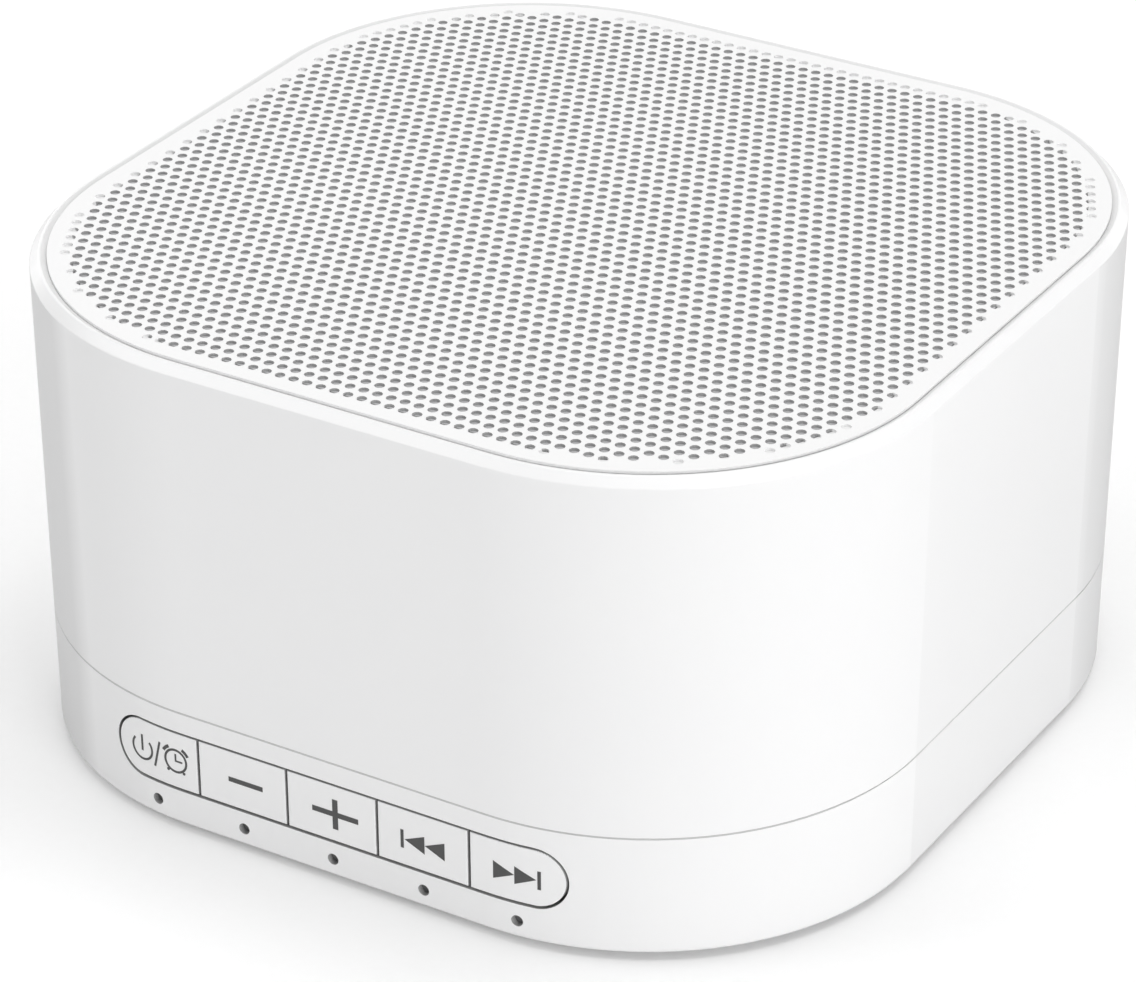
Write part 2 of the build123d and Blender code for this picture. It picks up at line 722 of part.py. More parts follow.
inlet_width, inlet_depth, inlet_height = inlet_size
with BuildPart() as power_inlet:
    with BuildSketch(facing(inlet_mouth_y)):
        with Locations((0, inlet_z)):
            RectangleRounded(inlet_width, inlet_height, inlet_corner)
    extrude(amount=inlet_depth)
    with BuildSketch(facing(inlet_mouth_y)):
        with Locations((0, inlet_z)):
            RectangleRounded(
                inlet_width - 2 * inlet_shell,
                inlet_height - 2 * inlet_shell,
                inlet_corner - inlet_shell,
            )
    extrude(amount=inlet_depth - inlet_shell, mode=Mode.SUBTRACT)
power_inlet.part.label = "power_inlet"
export_step(power_inlet.part, "parts/power_inlet.step")

with BuildPart() as inlet_core:
    with BuildSketch(facing(inlet_mouth_y - tongue_setback)):
        with Locations((0, inlet_z)):
            Rectangle(inlet_tongue[0], inlet_tongue[1])
    extrude(amount=inlet_depth - inlet_shell - tongue_setback)
inlet_core.part.label = "inlet_core"
export_step(inlet_core.part, "parts/inlet_core.step")

plug_y = can_y
plug_bottom = board_top + socket_floor
with BuildPart() as speaker_socket:
    with BuildSketch(Plane.XY.offset(board_top)):
        with Locations((plug_x, plug_y)):
            Rectangle(socket_size[0], socket_size[1])
    extrude(amount=socket_size[2])
    with BuildSketch(Plane.XY.offset(plug_bottom)):
        with Locations((plug_x, plug_y)):
            Rectangle(socket_size[0] - 2 * socket_wall, socket_size[1] - 2 * socket_wall)
    extrude(amount=socket_size[2] - socket_floor, mode=Mode.SUBTRACT)
speaker_socket.part.label = "speaker_socket"
export_step(speaker_socket.part, "parts/speaker_socket.step")

with BuildPart() as speaker_plug:
    with BuildSketch(Plane.XY.offset(plug_bottom)):
        with Locations((plug_x, plug_y)):
            Rectangle(
                socket_size[0] - 2 * socket_wall - 2 * fit,
                socket_size[1] - 2 * socket_wall - 2 * fit,
            )
    extrude(amount=plug_height)
speaker_plug.part.label = "speaker_plug"
export_step(speaker_plug.part, "parts/speaker_plug.step")


# ---- Speaker plate and its screws -------------------------------------------------------------
speaker_hole_radius = basket_top_radius + running + screw_fit
flange_bottom = plate_top + gasket_thickness
flange_top = flange_bottom + speaker_flange_thickness
with BuildPart() as speaker_plate:
    with BuildSketch(Plane.XY.offset(plate_bottom)):
        body_outline(ledge_opening / 2 - plate_margin)
        Circle(speaker_hole_radius, mode=Mode.SUBTRACT)
        with GridLocations(*post_spacing, 2, 2):
            Circle(shell_screw_diameter / 2 + screw_fit, mode=Mode.SUBTRACT)
        with GridLocations(speaker_screw_spacing, speaker_screw_spacing, 2, 2):
            Circle(small_screw_diameter / 2 + screw_fit, mode=Mode.SUBTRACT)
    extrude(amount=plate_thickness)
speaker_plate.part.label = "speaker_plate"
export_step(speaker_plate.part, "parts/speaker_plate.step")

plate_screw = pan_screw(plate_top, shell_screw_head, shell_screw_diameter, plate_screw_length, -1)
with BuildPart() as plate_screws:
    with GridLocations(*post_spacing, 2, 2):
        add(plate_screw)
plate_screws.part.label = "plate_screws"
export_step(plate_screws.part, "parts/plate_screws.step")

with BuildPart() as speaker_gasket:
    with BuildSketch(Plane.XY.offset(plate_top)):
        RectangleRounded(flange_size, flange_size, flange_corner)
        Circle(speaker_hole_radius, mode=Mode.SUBTRACT)
        with GridLocations(speaker_screw_spacing, speaker_screw_spacing, 2, 2):
            Circle(small_screw_diameter / 2 + screw_fit, mode=Mode.SUBTRACT)
    extrude(amount=gasket_thickness)
speaker_gasket.part.label = "speaker_gasket"
export_step(speaker_gasket.part, "parts/speaker_gasket.step")

speaker_screw = pan_screw(
    flange_top, small_screw_head, small_screw_diameter, speaker_screw_length, -1
)
with BuildPart() as speaker_screws:
    with GridLocations(speaker_screw_spacing, speaker_screw_spacing, 2, 2):
        add(speaker_screw)
speaker_screws.part.label = "speaker_screws"
export_step(speaker_screws.part, "parts/speaker_screws.step")


# ---- Speaker basket and magnet ----------------------------------------------------------------
step_bottom = flange_bottom - basket_step_depth
step_top = step_bottom + basket_wall
cup_bottom = step_bottom - cup_depth
basket_mouth_radius = basket_top_radius - basket_wall - screw_fit
with BuildPart() as speaker_basket:
    with BuildSketch(Plane.XZ):
        with BuildLine():
            Polyline(
                (basket_top_radius, flange_bottom),
                (basket_step_radius, step_bottom),
                (cup_radius, step_bottom),
                (cup_radius, cup_bottom),
                (magnet_bore_radius, cup_bottom),
                (magnet_bore_radius, cup_bottom + basket_wall),
                (cup_radius - basket_wall, cup_bottom + basket_wall),
                (cup_radius - basket_wall, step_top),
                (basket_step_radius - basket_wall / 2, step_top),
                (basket_mouth_radius, flange_bottom),
                close=True,
            )
        make_face()
    revolve(axis=Axis.Z)
    with BuildSketch(Plane.XY.offset((step_top + flange_bottom - basket_window[1]) / 2)):
        Rectangle(2 * flange_size, basket_window[0])
        Rectangle(basket_window[0], 2 * flange_size)
    extrude(amount=basket_window[1], mode=Mode.SUBTRACT)
    with BuildSketch(Plane.XY.offset(flange_bottom)):
        RectangleRounded(flange_size, flange_size, flange_corner)
        Circle(basket_mouth_radius, mode=Mode.SUBTRACT)
        with GridLocations(speaker_screw_spacing, speaker_screw_spacing, 2, 2):
            Circle(small_screw_diameter / 2 + screw_fit, mode=Mode.SUBTRACT)
    extrude(amount=speaker_flange_thickness)
speaker_basket.part.label = "speaker_basket"
export_step(speaker_basket.part, "parts/speaker_basket.step")

coil_outer_radius = coil_inner_radius + coil_wall
magnet_top = cup_bottom - top_plate_thickness
magnet_bottom = magnet_top - magnet_thickness
with BuildPart() as top_plate:
    with BuildSketch(Plane.XY.offset(magnet_top)):
        Circle(magnet_radius - top_plate_inset)
        Circle(coil_outer_radius + coil_gap, mode=Mode.SUBTRACT)
    extrude(amount=top_plate_thickness)
top_plate.part.label = "top_plate"
export_step(top_plate.part, "parts/top_plate.step")

with BuildPart() as magnet:
    with BuildSketch(Plane.XY.offset(magnet_bottom)):
        Circle(magnet_radius)
        Circle(magnet_bore_radius, mode=Mode.SUBTRACT)
    extrude(amount=magnet_thickness)
magnet.part.label = "magnet"
export_step(magnet.part, "parts/magnet.step")

with BuildPart() as yoke:
    with BuildSketch(Plane.XY.offset(magnet_bottom - yoke_thickness)):
        Circle(magnet_radius - yoke_inset)
    extrude(amount=yoke_thickness)
    with BuildSketch(Plane.XY.offset(magnet_bottom)):
        Circle(coil_inner_radius - coil_gap)
    extrude(amount=cup_bottom - magnet_bottom)
yoke.part.label = "yoke"
export_step(yoke.part, "parts/yoke.step")


# ---- Moving coil, cone and their suspension ---------------------------------------------------
neck_radius = coil_outer_radius + screw_fit
neck_z = step_top + skin
coil_top = neck_z + 2 * skin + screw_fit
with BuildPart() as voice_coil:
    with BuildSketch(Plane.XY.offset(coil_top)):
        Circle(coil_outer_radius)
        Circle(coil_inner_radius, mode=Mode.SUBTRACT)
    extrude(amount=-coil_length)
voice_coil.part.label = "voice_coil"
export_step(voice_coil.part, "parts/voice_coil.step")

roll_foot_radius = roll_centre_radius - roll_radius
cone_rim_radius = roll_foot_radius - skin
cone_top_radius = roll_foot_radius - surround_lip
with BuildPart() as speaker_cone:
    with BuildSketch(Plane.XZ):
        with BuildLine():
            Polyline(
                (neck_radius, neck_z),
                (cone_top_radius, flange_top - skin),
                (cone_rim_radius, flange_top - skin),
                (cone_rim_radius, flange_top),
                (cone_top_radius, flange_top),
                (neck_radius, neck_z + 1.2 * skin),
                close=True,
            )
        make_face()
    revolve(axis=Axis.Z)
speaker_cone.part.label = "speaker_cone"
export_step(speaker_cone.part, "parts/speaker_cone.step")

roll_outer_radius = roll_radius + skin
roll_shoulder = sqrt(roll_outer_radius**2 - skin**2)
rim_end_radius = roll_centre_radius + roll_radius + surround_rim
with BuildPart() as speaker_surround:
    with BuildSketch(Plane.XZ):
        with BuildLine():
            inner_flat = Line((cone_top_radius, flange_top), (roll_foot_radius, flange_top))
            inner_roll = RadiusArc(
                inner_flat @ 1,
                (roll_centre_radius + roll_radius, flange_top),
                roll_radius,
            )
            outer_flat = Line(inner_roll @ 1, (rim_end_radius, flange_top))
            outer_edge = Line(outer_flat @ 1, (rim_end_radius, flange_top + skin))
            outer_top = Line(
                outer_edge @ 1, (roll_centre_radius + roll_shoulder, flange_top + skin)
            )
            outer_roll = ThreePointArc(
                outer_top @ 1,
                (roll_centre_radius, flange_top + roll_outer_radius),
                (roll_centre_radius - roll_shoulder, flange_top + skin),
            )
            inner_top = Line(outer_roll @ 1, (cone_top_radius, flange_top + skin))
            Line(inner_top @ 1, inner_flat @ 0)
        make_face()
    revolve(axis=Axis.Z)
speaker_surround.part.label = "speaker_surround"
export_step(speaker_surround.part, "parts/speaker_surround.step")

spider_z = step_top + skin / 2
spider_edge = basket_step_radius - basket_wall
wave_start = neck_radius + 3 * skin
wave_end = cup_radius - basket_wall
wave_step = (wave_end - wave_start) / 6
with BuildPart() as spider:
    with BuildSketch(Plane.XZ):
        with BuildLine():
            FilletPolyline(
                (neck_radius, spider_z),
                (wave_start, spider_z),
                *[
                    (wave_start + i * wave_step, spider_z - skin * (-1) ** i)
                    for i in range(1, 6)
                ],
                (wave_end, spider_z),
                (spider_edge, spider_z),
                radius=skin,
            )
        trace(line_width=skin)
    revolve(axis=Axis.Z)
spider.part.label = "spider"
export_step(spider.part, "parts/spider.step")

cone_slope = (flange_top - neck_z - 1.2 * skin) / (cone_top_radius - neck_radius)
cap_z = neck_z + 1.2 * skin + cone_slope * (dust_cap_radius - neck_radius) + screw_fit
dome_radius = (dust_cap_radius**2 + dust_cap_rise**2) / (2 * dust_cap_rise)
dome_centre_z = cap_z + skin + dust_cap_rise - dome_radius
dome_angle = degrees(asin(dust_cap_radius / dome_radius))
with BuildPart() as dust_cap:
    with BuildSketch(Plane.XZ):
        with BuildLine():
            outside = CenterArc((0, dome_centre_z), dome_radius, 90 - dome_angle, dome_angle)
            inside = CenterArc((0, dome_centre_z), dome_radius - skin, 90 - dome_angle, dome_angle)
            Line(outside @ 0, inside @ 0)
            Line(outside @ 1, inside @ 1)
        make_face()
    revolve(axis=Axis.Z)
dust_cap.part.label = "dust_cap"
export_step(dust_cap.part, "parts/dust_cap.step")


# ---- Speaker terminals and leads --------------------------------------------------------------
terminal_y = cup_radius + screw_fit
lug_z = step_bottom - terminal_size[2] * 0.8
lug_y = terminal_y + terminal_size[1]
with BuildPart() as terminal_board:
    with BuildSketch(facing(lug_y)):
        with Locations((0, step_bottom - terminal_size[2] / 2)):
            Rectangle(terminal_size[0], terminal_size[2])
    extrude(amount=terminal_size[1])
terminal_board.part.label = "terminal_board"
export_step(terminal_board.part, "parts/terminal_board.step")

with BuildPart() as speaker_lugs:
    with BuildSketch(Plane.XY.offset(lug_z)):
        with Locations((0, lug_y + lug_size[1] / 2)):
            with GridLocations(lug_spacing, 0, 2, 1):
                Rectangle(lug_size[0], lug_size[1])
    extrude(amount=lug_size[2] / 2, both=True)
speaker_lugs.part.label = "speaker_lugs"
export_step(speaker_lugs.part, "parts/speaker_lugs.step")

wire_start_y = lug_y + lug_size[1]
wire_drop_y = wire_start_y + 2 * wire_bend
plug_top = plug_bottom + plug_height
for wire_name, side in (("speaker_wire_red", 1), ("speaker_wire_black", -1)):
    lug_x = side * lug_spacing / 2
    pin_x = plug_x + side * wire_spacing / 2
    wire_start = Plane((lug_x, wire_start_y, lug_z), z_dir=(0, 1, 0))
    with BuildPart() as wire:
        with BuildLine():
            FilletPolyline(
                (lug_x, wire_start_y, lug_z),
                (lug_x, wire_drop_y, lug_z),
                (lug_x, wire_drop_y, lug_z - 3 * wire_bend),
                (pin_x, plug_y, plug_top + 2 * wire_bend),
                (pin_x, plug_y, plug_top),
                radius=wire_bend,
            )
        with BuildSketch(wire_start):
            Circle(wire_diameter / 2)
        sweep()
    wire.part.label = wire_name
    export_step(wire.part, f"parts/{wire_name}.step")
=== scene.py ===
# %% [markdown]
# # A palm-size white noise sound machine
#
# The real thing is a white plastic box with a perforated metal top. A speaker behind the holes
# faces upwards, and five buttons sit in one long slot low on the front. The solid parts come
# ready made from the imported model. This script gives them their finishes, prints the symbols
# on the buttons, and sets up the floor, the lamps and the camera.

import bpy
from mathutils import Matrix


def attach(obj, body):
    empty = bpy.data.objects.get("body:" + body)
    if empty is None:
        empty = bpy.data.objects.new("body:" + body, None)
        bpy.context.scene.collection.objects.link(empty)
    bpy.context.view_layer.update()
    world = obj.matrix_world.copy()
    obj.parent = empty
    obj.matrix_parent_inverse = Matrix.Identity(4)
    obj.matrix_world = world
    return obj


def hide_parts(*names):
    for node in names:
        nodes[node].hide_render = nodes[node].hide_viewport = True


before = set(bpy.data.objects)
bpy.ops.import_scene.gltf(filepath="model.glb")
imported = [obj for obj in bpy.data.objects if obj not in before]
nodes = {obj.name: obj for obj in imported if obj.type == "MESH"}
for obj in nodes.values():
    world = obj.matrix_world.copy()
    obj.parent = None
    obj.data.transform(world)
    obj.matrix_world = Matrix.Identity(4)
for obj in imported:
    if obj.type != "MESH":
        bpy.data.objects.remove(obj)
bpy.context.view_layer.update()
print("parts loaded:", len(nodes))

# %% Blender's own modules
import math

import bmesh
import bpy
from mathutils import Matrix, Vector, geometry

MM = 0.001


# %% [markdown]
# ## Camera
#
# A product picture of a small thing is taken from well back with a long lens, so that its
# upright edges stay nearly parallel. The camera could be aimed with a constraint, but a
# written-out set of axes says exactly where it looks and never depends on another object.

# %% Camera
CAMERA_PLACE_MM = (230.62, -385.77, 271.55)
CAMERA_RIGHT = Vector((0.85646, 0.51621, -0.00083))
CAMERA_DOWN = Vector((0.24985, -0.41594, -0.87440))
LENS_MM = 150.4

view_back = CAMERA_RIGHT.cross(-CAMERA_DOWN).normalized()
view_right = CAMERA_RIGHT.normalized()
view_up = view_back.cross(view_right)
camera_data = bpy.data.cameras.new("camera")
camera_data.lens = LENS_MM
camera_data.sensor_fit = "HORIZONTAL"
camera_data.sensor_width = 36.0
camera_data.clip_start = 0.01
camera = bpy.data.objects.new("camera", camera_data)
bpy.context.scene.collection.objects.link(camera)
turn = Matrix((view_right, view_up, view_back)).transposed().to_4x4()
camera.matrix_world = Matrix.Translation(Vector(CAMERA_PLACE_MM) * MM) @ turn
bpy.context.scene.camera = camera
print("camera stands", round(camera.location.length, 3), "m from the middle of the base")

# %% [markdown]
# ## Node helpers
#
# A material is a small network. Two helpers keep the later cells readable: one adds a node
# and sets its plain values, the other joins an output to an input. Two more start a node
# group and use it. Floor and sky tell rays that show a surface, straight from the camera or
# through a reflection, from rays that only carry light, and a helper gives them that too.


# %% Node helpers
def add_node(tree, kind, **values):
    """A new node; values are its properties, or the default values of its inputs."""
    node = tree.nodes.new(kind)
    for name, value in values.items():
        if hasattr(node, name):
            setattr(node, name, value)
        else:
            node.inputs[name.replace("_", " ")].default_value = value
    return node


def join(tree, source, target):
    """Link an output to an input."""
    tree.links.new(source, target)


def new_group(name, inputs, outputs):
    """An empty shader node group with named number sockets, and its two end nodes."""
    group = bpy.data.node_groups.new(name, "ShaderNodeTree")
    for label, value in inputs.items():
        socket = group.interface.new_socket(label, in_out="INPUT", socket_type="NodeSocketFloat")
        socket.default_value = value
    for label in outputs:
        group.interface.new_socket(label, in_out="OUTPUT", socket_type="NodeSocketFloat")
    return group, group.nodes.new("NodeGroupInput"), group.nodes.new("NodeGroupOutput")


def use_group(tree, group, **values):
    """The group as a node in a material, with this material's own values."""
    node = tree.nodes.new("ShaderNodeGroup")
    node.node_tree = group
    for name, value in values.items():
        node.inputs[name.replace("_", " ")].default_value = value
    return node


def showing_rays(tree):
    """An output that is 1 for camera, reflection and clear-material rays, and 0 for others."""
    rays = add_node(tree, "ShaderNodeLightPath")
    shown = rays.outputs["Is Camera Ray"]
    for kind in ("Is Glossy Ray", "Is Transmission Ray"):
        either = add_node(tree, "ShaderNodeMath", operation="MAXIMUM")
        join(tree, shown, either.inputs[0])
        join(tree, rays.outputs[kind], either.inputs[1])
        shown = either.outputs[0]
    return shown


def greys(dark, light):
    """Two neutral shades, as a finish takes them."""
    return (dark,) * 3, (light,) * 3


# %% [markdown]
# ## Floor and background
#
# The box stands on plain white paper that runs on into a white background. Making the lamps
# strong enough to burn the paper out would burn out the white box too. So the floor is an
# ordinary matt surface, and for rays that come from the camera or from a reflection it also
# glows a little. What the lamps light then reaches white, and the box's own shadow stays.
# Further out the glow grows, so that the paper runs into the background without a line.

# %% Floor
FLOOR_REACH = 6.0
FLOOR_COLOR = 0.87
TOOTH_SHADE = 0.01
NEAR_GLOW, FAR_GLOW = 0.12, 1.0
GLOW_START, GLOW_END = 0.10, 0.60

floor_mesh = bpy.data.meshes.new("floor")
corners = [(-1, -1, 0), (1, -1, 0), (1, 1, 0), (-1, 1, 0)]
floor_mesh.from_pydata([tuple(FLOOR_REACH * c for c in p) for p in corners], [], [(0, 1, 2, 3)])
floor = bpy.data.objects.new("floor", floor_mesh)
bpy.context.scene.collection.objects.link(floor)

paper = bpy.data.materials.new("paper_floor")
paper.use_nodes = True
tree = paper.node_tree
surface = tree.nodes["Principled BSDF"]
surface.inputs["Roughness"].default_value = 0.9
surface.inputs["Specular IOR Level"].default_value = 0.1
surface.inputs["Emission Color"].default_value = (1, 1, 1, 1)
place = add_node(tree, "ShaderNodeTexCoord")
tooth = add_node(tree, "ShaderNodeTexNoise", Scale=900.0, Detail=3.0)
shade = add_node(
    tree, "ShaderNodeMapRange",
    To_Min=FLOOR_COLOR - TOOTH_SHADE, To_Max=FLOOR_COLOR + TOOTH_SHADE,
)
join(tree, place.outputs["Object"], tooth.inputs["Vector"])
join(tree, tooth.outputs["Fac"], shade.inputs["Value"])
join(tree, shade.outputs["Result"], surface.inputs["Base Color"])
distance = add_node(tree, "ShaderNodeVectorMath", operation="LENGTH")
amount = add_node(
    tree, "ShaderNodeMapRange",
    From_Min=GLOW_START, From_Max=GLOW_END, To_Min=NEAR_GLOW, To_Max=FAR_GLOW,
)
glow = add_node(tree, "ShaderNodeMath", operation="MULTIPLY")
join(tree, place.outputs["Object"], distance.inputs[0])
join(tree, distance.outputs["Value"], amount.inputs["Value"])
join(tree, showing_rays(tree), glow.inputs[0])
join(tree, amount.outputs["Result"], glow.inputs[1])
join(tree, glow.outputs[0], surface.inputs["Emission Strength"])
floor_mesh.materials.append(paper)
print("floor is", 2 * FLOOR_REACH, "m square")

# %% [markdown]
# ## Sky
#
# The world does two jobs. To the camera, and in reflections, it is plain white. To matt
# surfaces it is a dim even light, which keeps the shaded side of the box from going dark.
# The plain view transform then keeps that white as it is, with no film curve over it.

# %% World
SKY_LIGHT = 0.33

world = bpy.data.worlds.new("studio")
world.use_nodes = True
bpy.context.scene.world = world
tree = world.node_tree
sky = tree.nodes["Background"]
sky.inputs["Color"].default_value = (1, 1, 1, 1)
strength = add_node(tree, "ShaderNodeMapRange", To_Min=SKY_LIGHT, To_Max=1.0)
join(tree, showing_rays(tree), strength.inputs["Value"])
join(tree, strength.outputs["Result"], sky.inputs["Strength"])
bpy.context.scene.view_settings.view_transform = "Standard"
print("sky light on matt surfaces:", SKY_LIGHT)

# %% [markdown]
# ## Lamps
#
# White on white only reads through small differences in tone. One lamp high up would leave
# the shaded side too dark, so six weak soft boxes stand round the box. The strongest faces
# the corner that points at the viewer: that corner becomes the brightest part, and the light
# falls off round both sides. The others fill the left wall, the back and the top. An azimuth
# of 0 is straight in front, and it grows to the right.

# %% Lamps
SOFTBOX_DISTANCE = 0.9
SOFTBOX_SIZE = 0.5
AIM = Vector((0, 0, 0.03))


def add_softbox(name, azimuth, elevation, watts):
    """Square soft box, unseen itself, that looks at the middle of the object."""
    around, up = math.radians(azimuth), math.radians(elevation)
    direction = Vector(
        (math.sin(around) * math.cos(up), -math.cos(around) * math.cos(up), math.sin(up))
    )
    data = bpy.data.lights.new(name, "AREA")
    data.shape = "SQUARE"
    data.size = SOFTBOX_SIZE
    data.energy = watts
    lamp = bpy.data.objects.new(name, data)
    bpy.context.scene.collection.objects.link(lamp)
    lamp.location = direction * SOFTBOX_DISTANCE + AIM
    lamp.rotation_euler = direction.to_track_quat("Z", "Y").to_euler()
    lamp.visible_camera = False
    print(name, "stands at", [round(c, 2) for c in lamp.location])


for name, azimuth, elevation, watts in (
    ("corner_softbox", 60, 12, 3.9),
    ("right_softbox", 120, 65, 1.75),
    ("overhead_softbox", 0, 90, 2.1),
    ("back_softbox", 180, 12, 1.0),
    ("left_softbox", -60, 38, 1.9),
    ("rim_softbox", -120, 12, 1.6),
):
    add_softbox(name, azimuth, elevation, watts)

# %% [markdown]
# ## Effects that several finishes share
#
# Moulded plastic, paint and rubber are never perfectly smooth: the mould leaves a fine grain.
# The grain could be real geometry, but it is far below a tenth of a millimetre, so a bump
# from noise in real-world units is enough. It is built once, as a group, and each finish
# gives it its own scale.

# %% Mould grain
mould_grain, ends_in, ends_out = new_group(
    "mould_grain", {"Scale": 6000.0, "Softness": 0.5}, ("Height", "Tint")
)
tree = mould_grain
place = add_node(tree, "ShaderNodeTexCoord")
pits = add_node(tree, "ShaderNodeTexNoise", Detail=2.0)
join(tree, place.outputs["Object"], pits.inputs["Vector"])
join(tree, ends_in.outputs["Scale"], pits.inputs["Scale"])
join(tree, ends_in.outputs["Softness"], pits.inputs["Roughness"])
join(tree, pits.outputs["Fac"], ends_out.inputs["Height"])
clouds = add_node(tree, "ShaderNodeTexNoise", Scale=60.0, Detail=2.0)
join(tree, place.outputs["Object"], clouds.inputs["Vector"])
join(tree, clouds.outputs["Fac"], ends_out.inputs["Tint"])
print("group:", mould_grain.name)

# %% [markdown]
# Hands leave faint greasy patches on plastic and metal. They don't change the colour, only
# how sharply the surface reflects, so this group puts out a mask that later moves the
# roughness up and down.

# %% Handling marks
handling_marks, ends_in, ends_out = new_group(
    "handling_marks", {"Scale": 40.0, "Spread": 0.5}, ("Mask",)
)
tree = handling_marks
place = add_node(tree, "ShaderNodeTexCoord")
patches = add_node(tree, "ShaderNodeTexNoise", Detail=5.0, Roughness=0.65, Distortion=0.6)
streaks = add_node(tree, "ShaderNodeMapRange", From_Min=0.35, From_Max=0.7)
join(tree, place.outputs["Object"], patches.inputs["Vector"])
join(tree, ends_in.outputs["Scale"], patches.inputs["Scale"])
join(tree, patches.outputs["Fac"], streaks.inputs["Value"])
soften = add_node(tree, "ShaderNodeMath", operation="MULTIPLY")
join(tree, streaks.outputs["Result"], soften.inputs[0])
join(tree, ends_in.outputs["Spread"], soften.inputs[1])
join(tree, soften.outputs[0], ends_out.inputs["Mask"])
print("group:", handling_marks.name)

# %% [markdown]
# Woven cloth shows two sets of threads that cross at right angles. Two bands of waves, one
# along each direction, give the height of the threads. Their lowest places are the gaps
# between them, darker both as the weave's pattern and as painted shade in the gaps.

# %% Cloth weave
cloth_weave, ends_in, ends_out = new_group(
    "cloth_weave", {"Threads per metre": 3000.0}, ("Height", "Gaps")
)
tree = cloth_weave
place = add_node(tree, "ShaderNodeTexCoord")
apart = add_node(tree, "ShaderNodeSeparateXYZ")
join(tree, place.outputs["Object"], apart.inputs["Vector"])
angle = add_node(tree, "ShaderNodeMath", operation="MULTIPLY")
angle.inputs[1].default_value = math.tau
join(tree, ends_in.outputs["Threads per metre"], angle.inputs[0])
crossed = add_node(tree, "ShaderNodeMath", operation="MULTIPLY")
for slot_index, axis in enumerate(("X", "Y")):
    along = add_node(tree, "ShaderNodeMath", operation="MULTIPLY")
    wave = add_node(tree, "ShaderNodeMath", operation="SINE")
    size = add_node(tree, "ShaderNodeMath", operation="ABSOLUTE")
    join(tree, apart.outputs[axis], along.inputs[0])
    join(tree, angle.outputs[0], along.inputs[1])
    join(tree, along.outputs[0], wave.inputs[0])
    join(tree, wave.outputs[0], size.inputs[0])
    join(tree, size.outputs[0], crossed.inputs[slot_index])
# The gaps' mask darkens the colour: the weave's pattern, and painted shade in the gaps.
gaps = add_node(tree, "ShaderNodeMapRange", From_Min=0.0, From_Max=0.35, To_Min=1.0, To_Max=0.0)
join(tree, crossed.outputs[0], gaps.inputs["Value"])
join(tree, crossed.outputs[0], ends_out.inputs["Height"])
join(tree, gaps.outputs["Result"], ends_out.inputs["Gaps"])
print("group:", cloth_weave.name)

# %% [markdown]
# Turned, rolled and plated metal carries fine lines in one direction. A noise stretched along
# one axis gives them.

# %% Drawn lines
drawn_lines, ends_in, ends_out = new_group("drawn_lines", {"Scale": 4000.0}, ("Height",))
tree = drawn_lines
place = add_node(tree, "ShaderNodeTexCoord")
stretch = add_node(tree, "ShaderNodeMapping", Scale=(0.03, 1.0, 1.0))
lines = add_node(tree, "ShaderNodeTexNoise", Detail=2.0)
join(tree, place.outputs["Object"], stretch.inputs["Vector"])
join(tree, stretch.outputs["Vector"], lines.inputs["Vector"])
join(tree, ends_in.outputs["Scale"], lines.inputs["Scale"])
join(tree, lines.outputs["Fac"], ends_out.inputs["Height"])
print("group:", drawn_lines.name)

# %% [markdown]
# ## Finishes
#
# Every hard finish here has the same build: a Principled shader, two near shades mixed by the
# grain's slow clouds, a roughness that the handling marks move, and a bump from the grain.
# One function builds them, so that the cell for each finish only says how it differs.
#
# A glossy white wall shows a grey band along its outline, where it mirrors the dark part of
# a room. The plain white surroundings here can't give that, so the shell's colour dips a
# little at those angles, as a painted reflection. Without it the outline would be lost against
# the background.


# %% Moulded and painted finishes
def hard_finish(name, shades, roughness, grain=6000.0, depth_mm=0.004, smudge=0.06, lines=None):
    """Plastic, paint, rubber or metal: two shades, a roughness and the size of its grain."""
    finish = bpy.data.materials.new(name)
    finish.use_nodes = True
    tree = finish.node_tree
    surface = tree.nodes["Principled BSDF"]
    texture = use_group(tree, mould_grain, Scale=grain)
    blend = add_node(tree, "ShaderNodeMix", data_type="RGBA")
    blend.inputs[6].default_value = (*shades[0], 1)
    blend.inputs[7].default_value = (*shades[1], 1)
    join(tree, texture.outputs["Tint"], blend.inputs[0])
    join(tree, blend.outputs[2], surface.inputs["Base Color"])
    marks = use_group(tree, handling_marks, Spread=1.0)
    rough = add_node(
        tree, "ShaderNodeMapRange", To_Min=roughness - smudge, To_Max=roughness + smudge
    )
    join(tree, marks.outputs["Mask"], rough.inputs["Value"])
    join(tree, rough.outputs["Result"], surface.inputs["Roughness"])
    bump = add_node(tree, "ShaderNodeBump", Strength=1.0, Distance=depth_mm * MM)
    if lines is None:
        join(tree, texture.outputs["Height"], bump.inputs["Height"])
    else:
        drawn = use_group(tree, drawn_lines, Scale=lines)
        join(tree, drawn.outputs["Height"], bump.inputs["Height"])
    join(tree, bump.outputs["Normal"], surface.inputs["Normal"])
    return finish, surface


def painted_reflection_band(finish, surface):
    """Darken a band along the outline as a painted reflection, where a pale curved wall turns
    away.
    """
    tree = finish.node_tree
    base = surface.inputs["Base Color"].links[0].from_socket
    slant = add_node(tree, "ShaderNodeLayerWeight", Blend=0.5)
    band = add_node(tree, "ShaderNodeValToRGB")
    stops = band.color_ramp.elements
    while len(stops) < len(REFLECTION_BAND_STOPS):
        stops.new(0.5)
    for stop, (place, tone) in zip(stops, REFLECTION_BAND_STOPS):
        stop.position = place
        stop.color = (tone, tone, tone, 1)
    toned = add_node(tree, "ShaderNodeMix", data_type="RGBA", blend_type="MULTIPLY")
    toned.inputs[0].default_value = 1.0
    join(tree, slant.outputs["Facing"], band.inputs["Fac"])
    join(tree, base, toned.inputs[6])
    join(tree, band.outputs["Color"], toned.inputs[7])
    join(tree, toned.outputs[2], surface.inputs["Base Color"])


def metal_finish(name, shades, roughness, lines=4000.0):
    """Bare or plated metal."""
    finish, surface = hard_finish(name, shades, roughness, depth_mm=0.002, lines=lines)
    surface.inputs["Metallic"].default_value = 1.0
    return finish


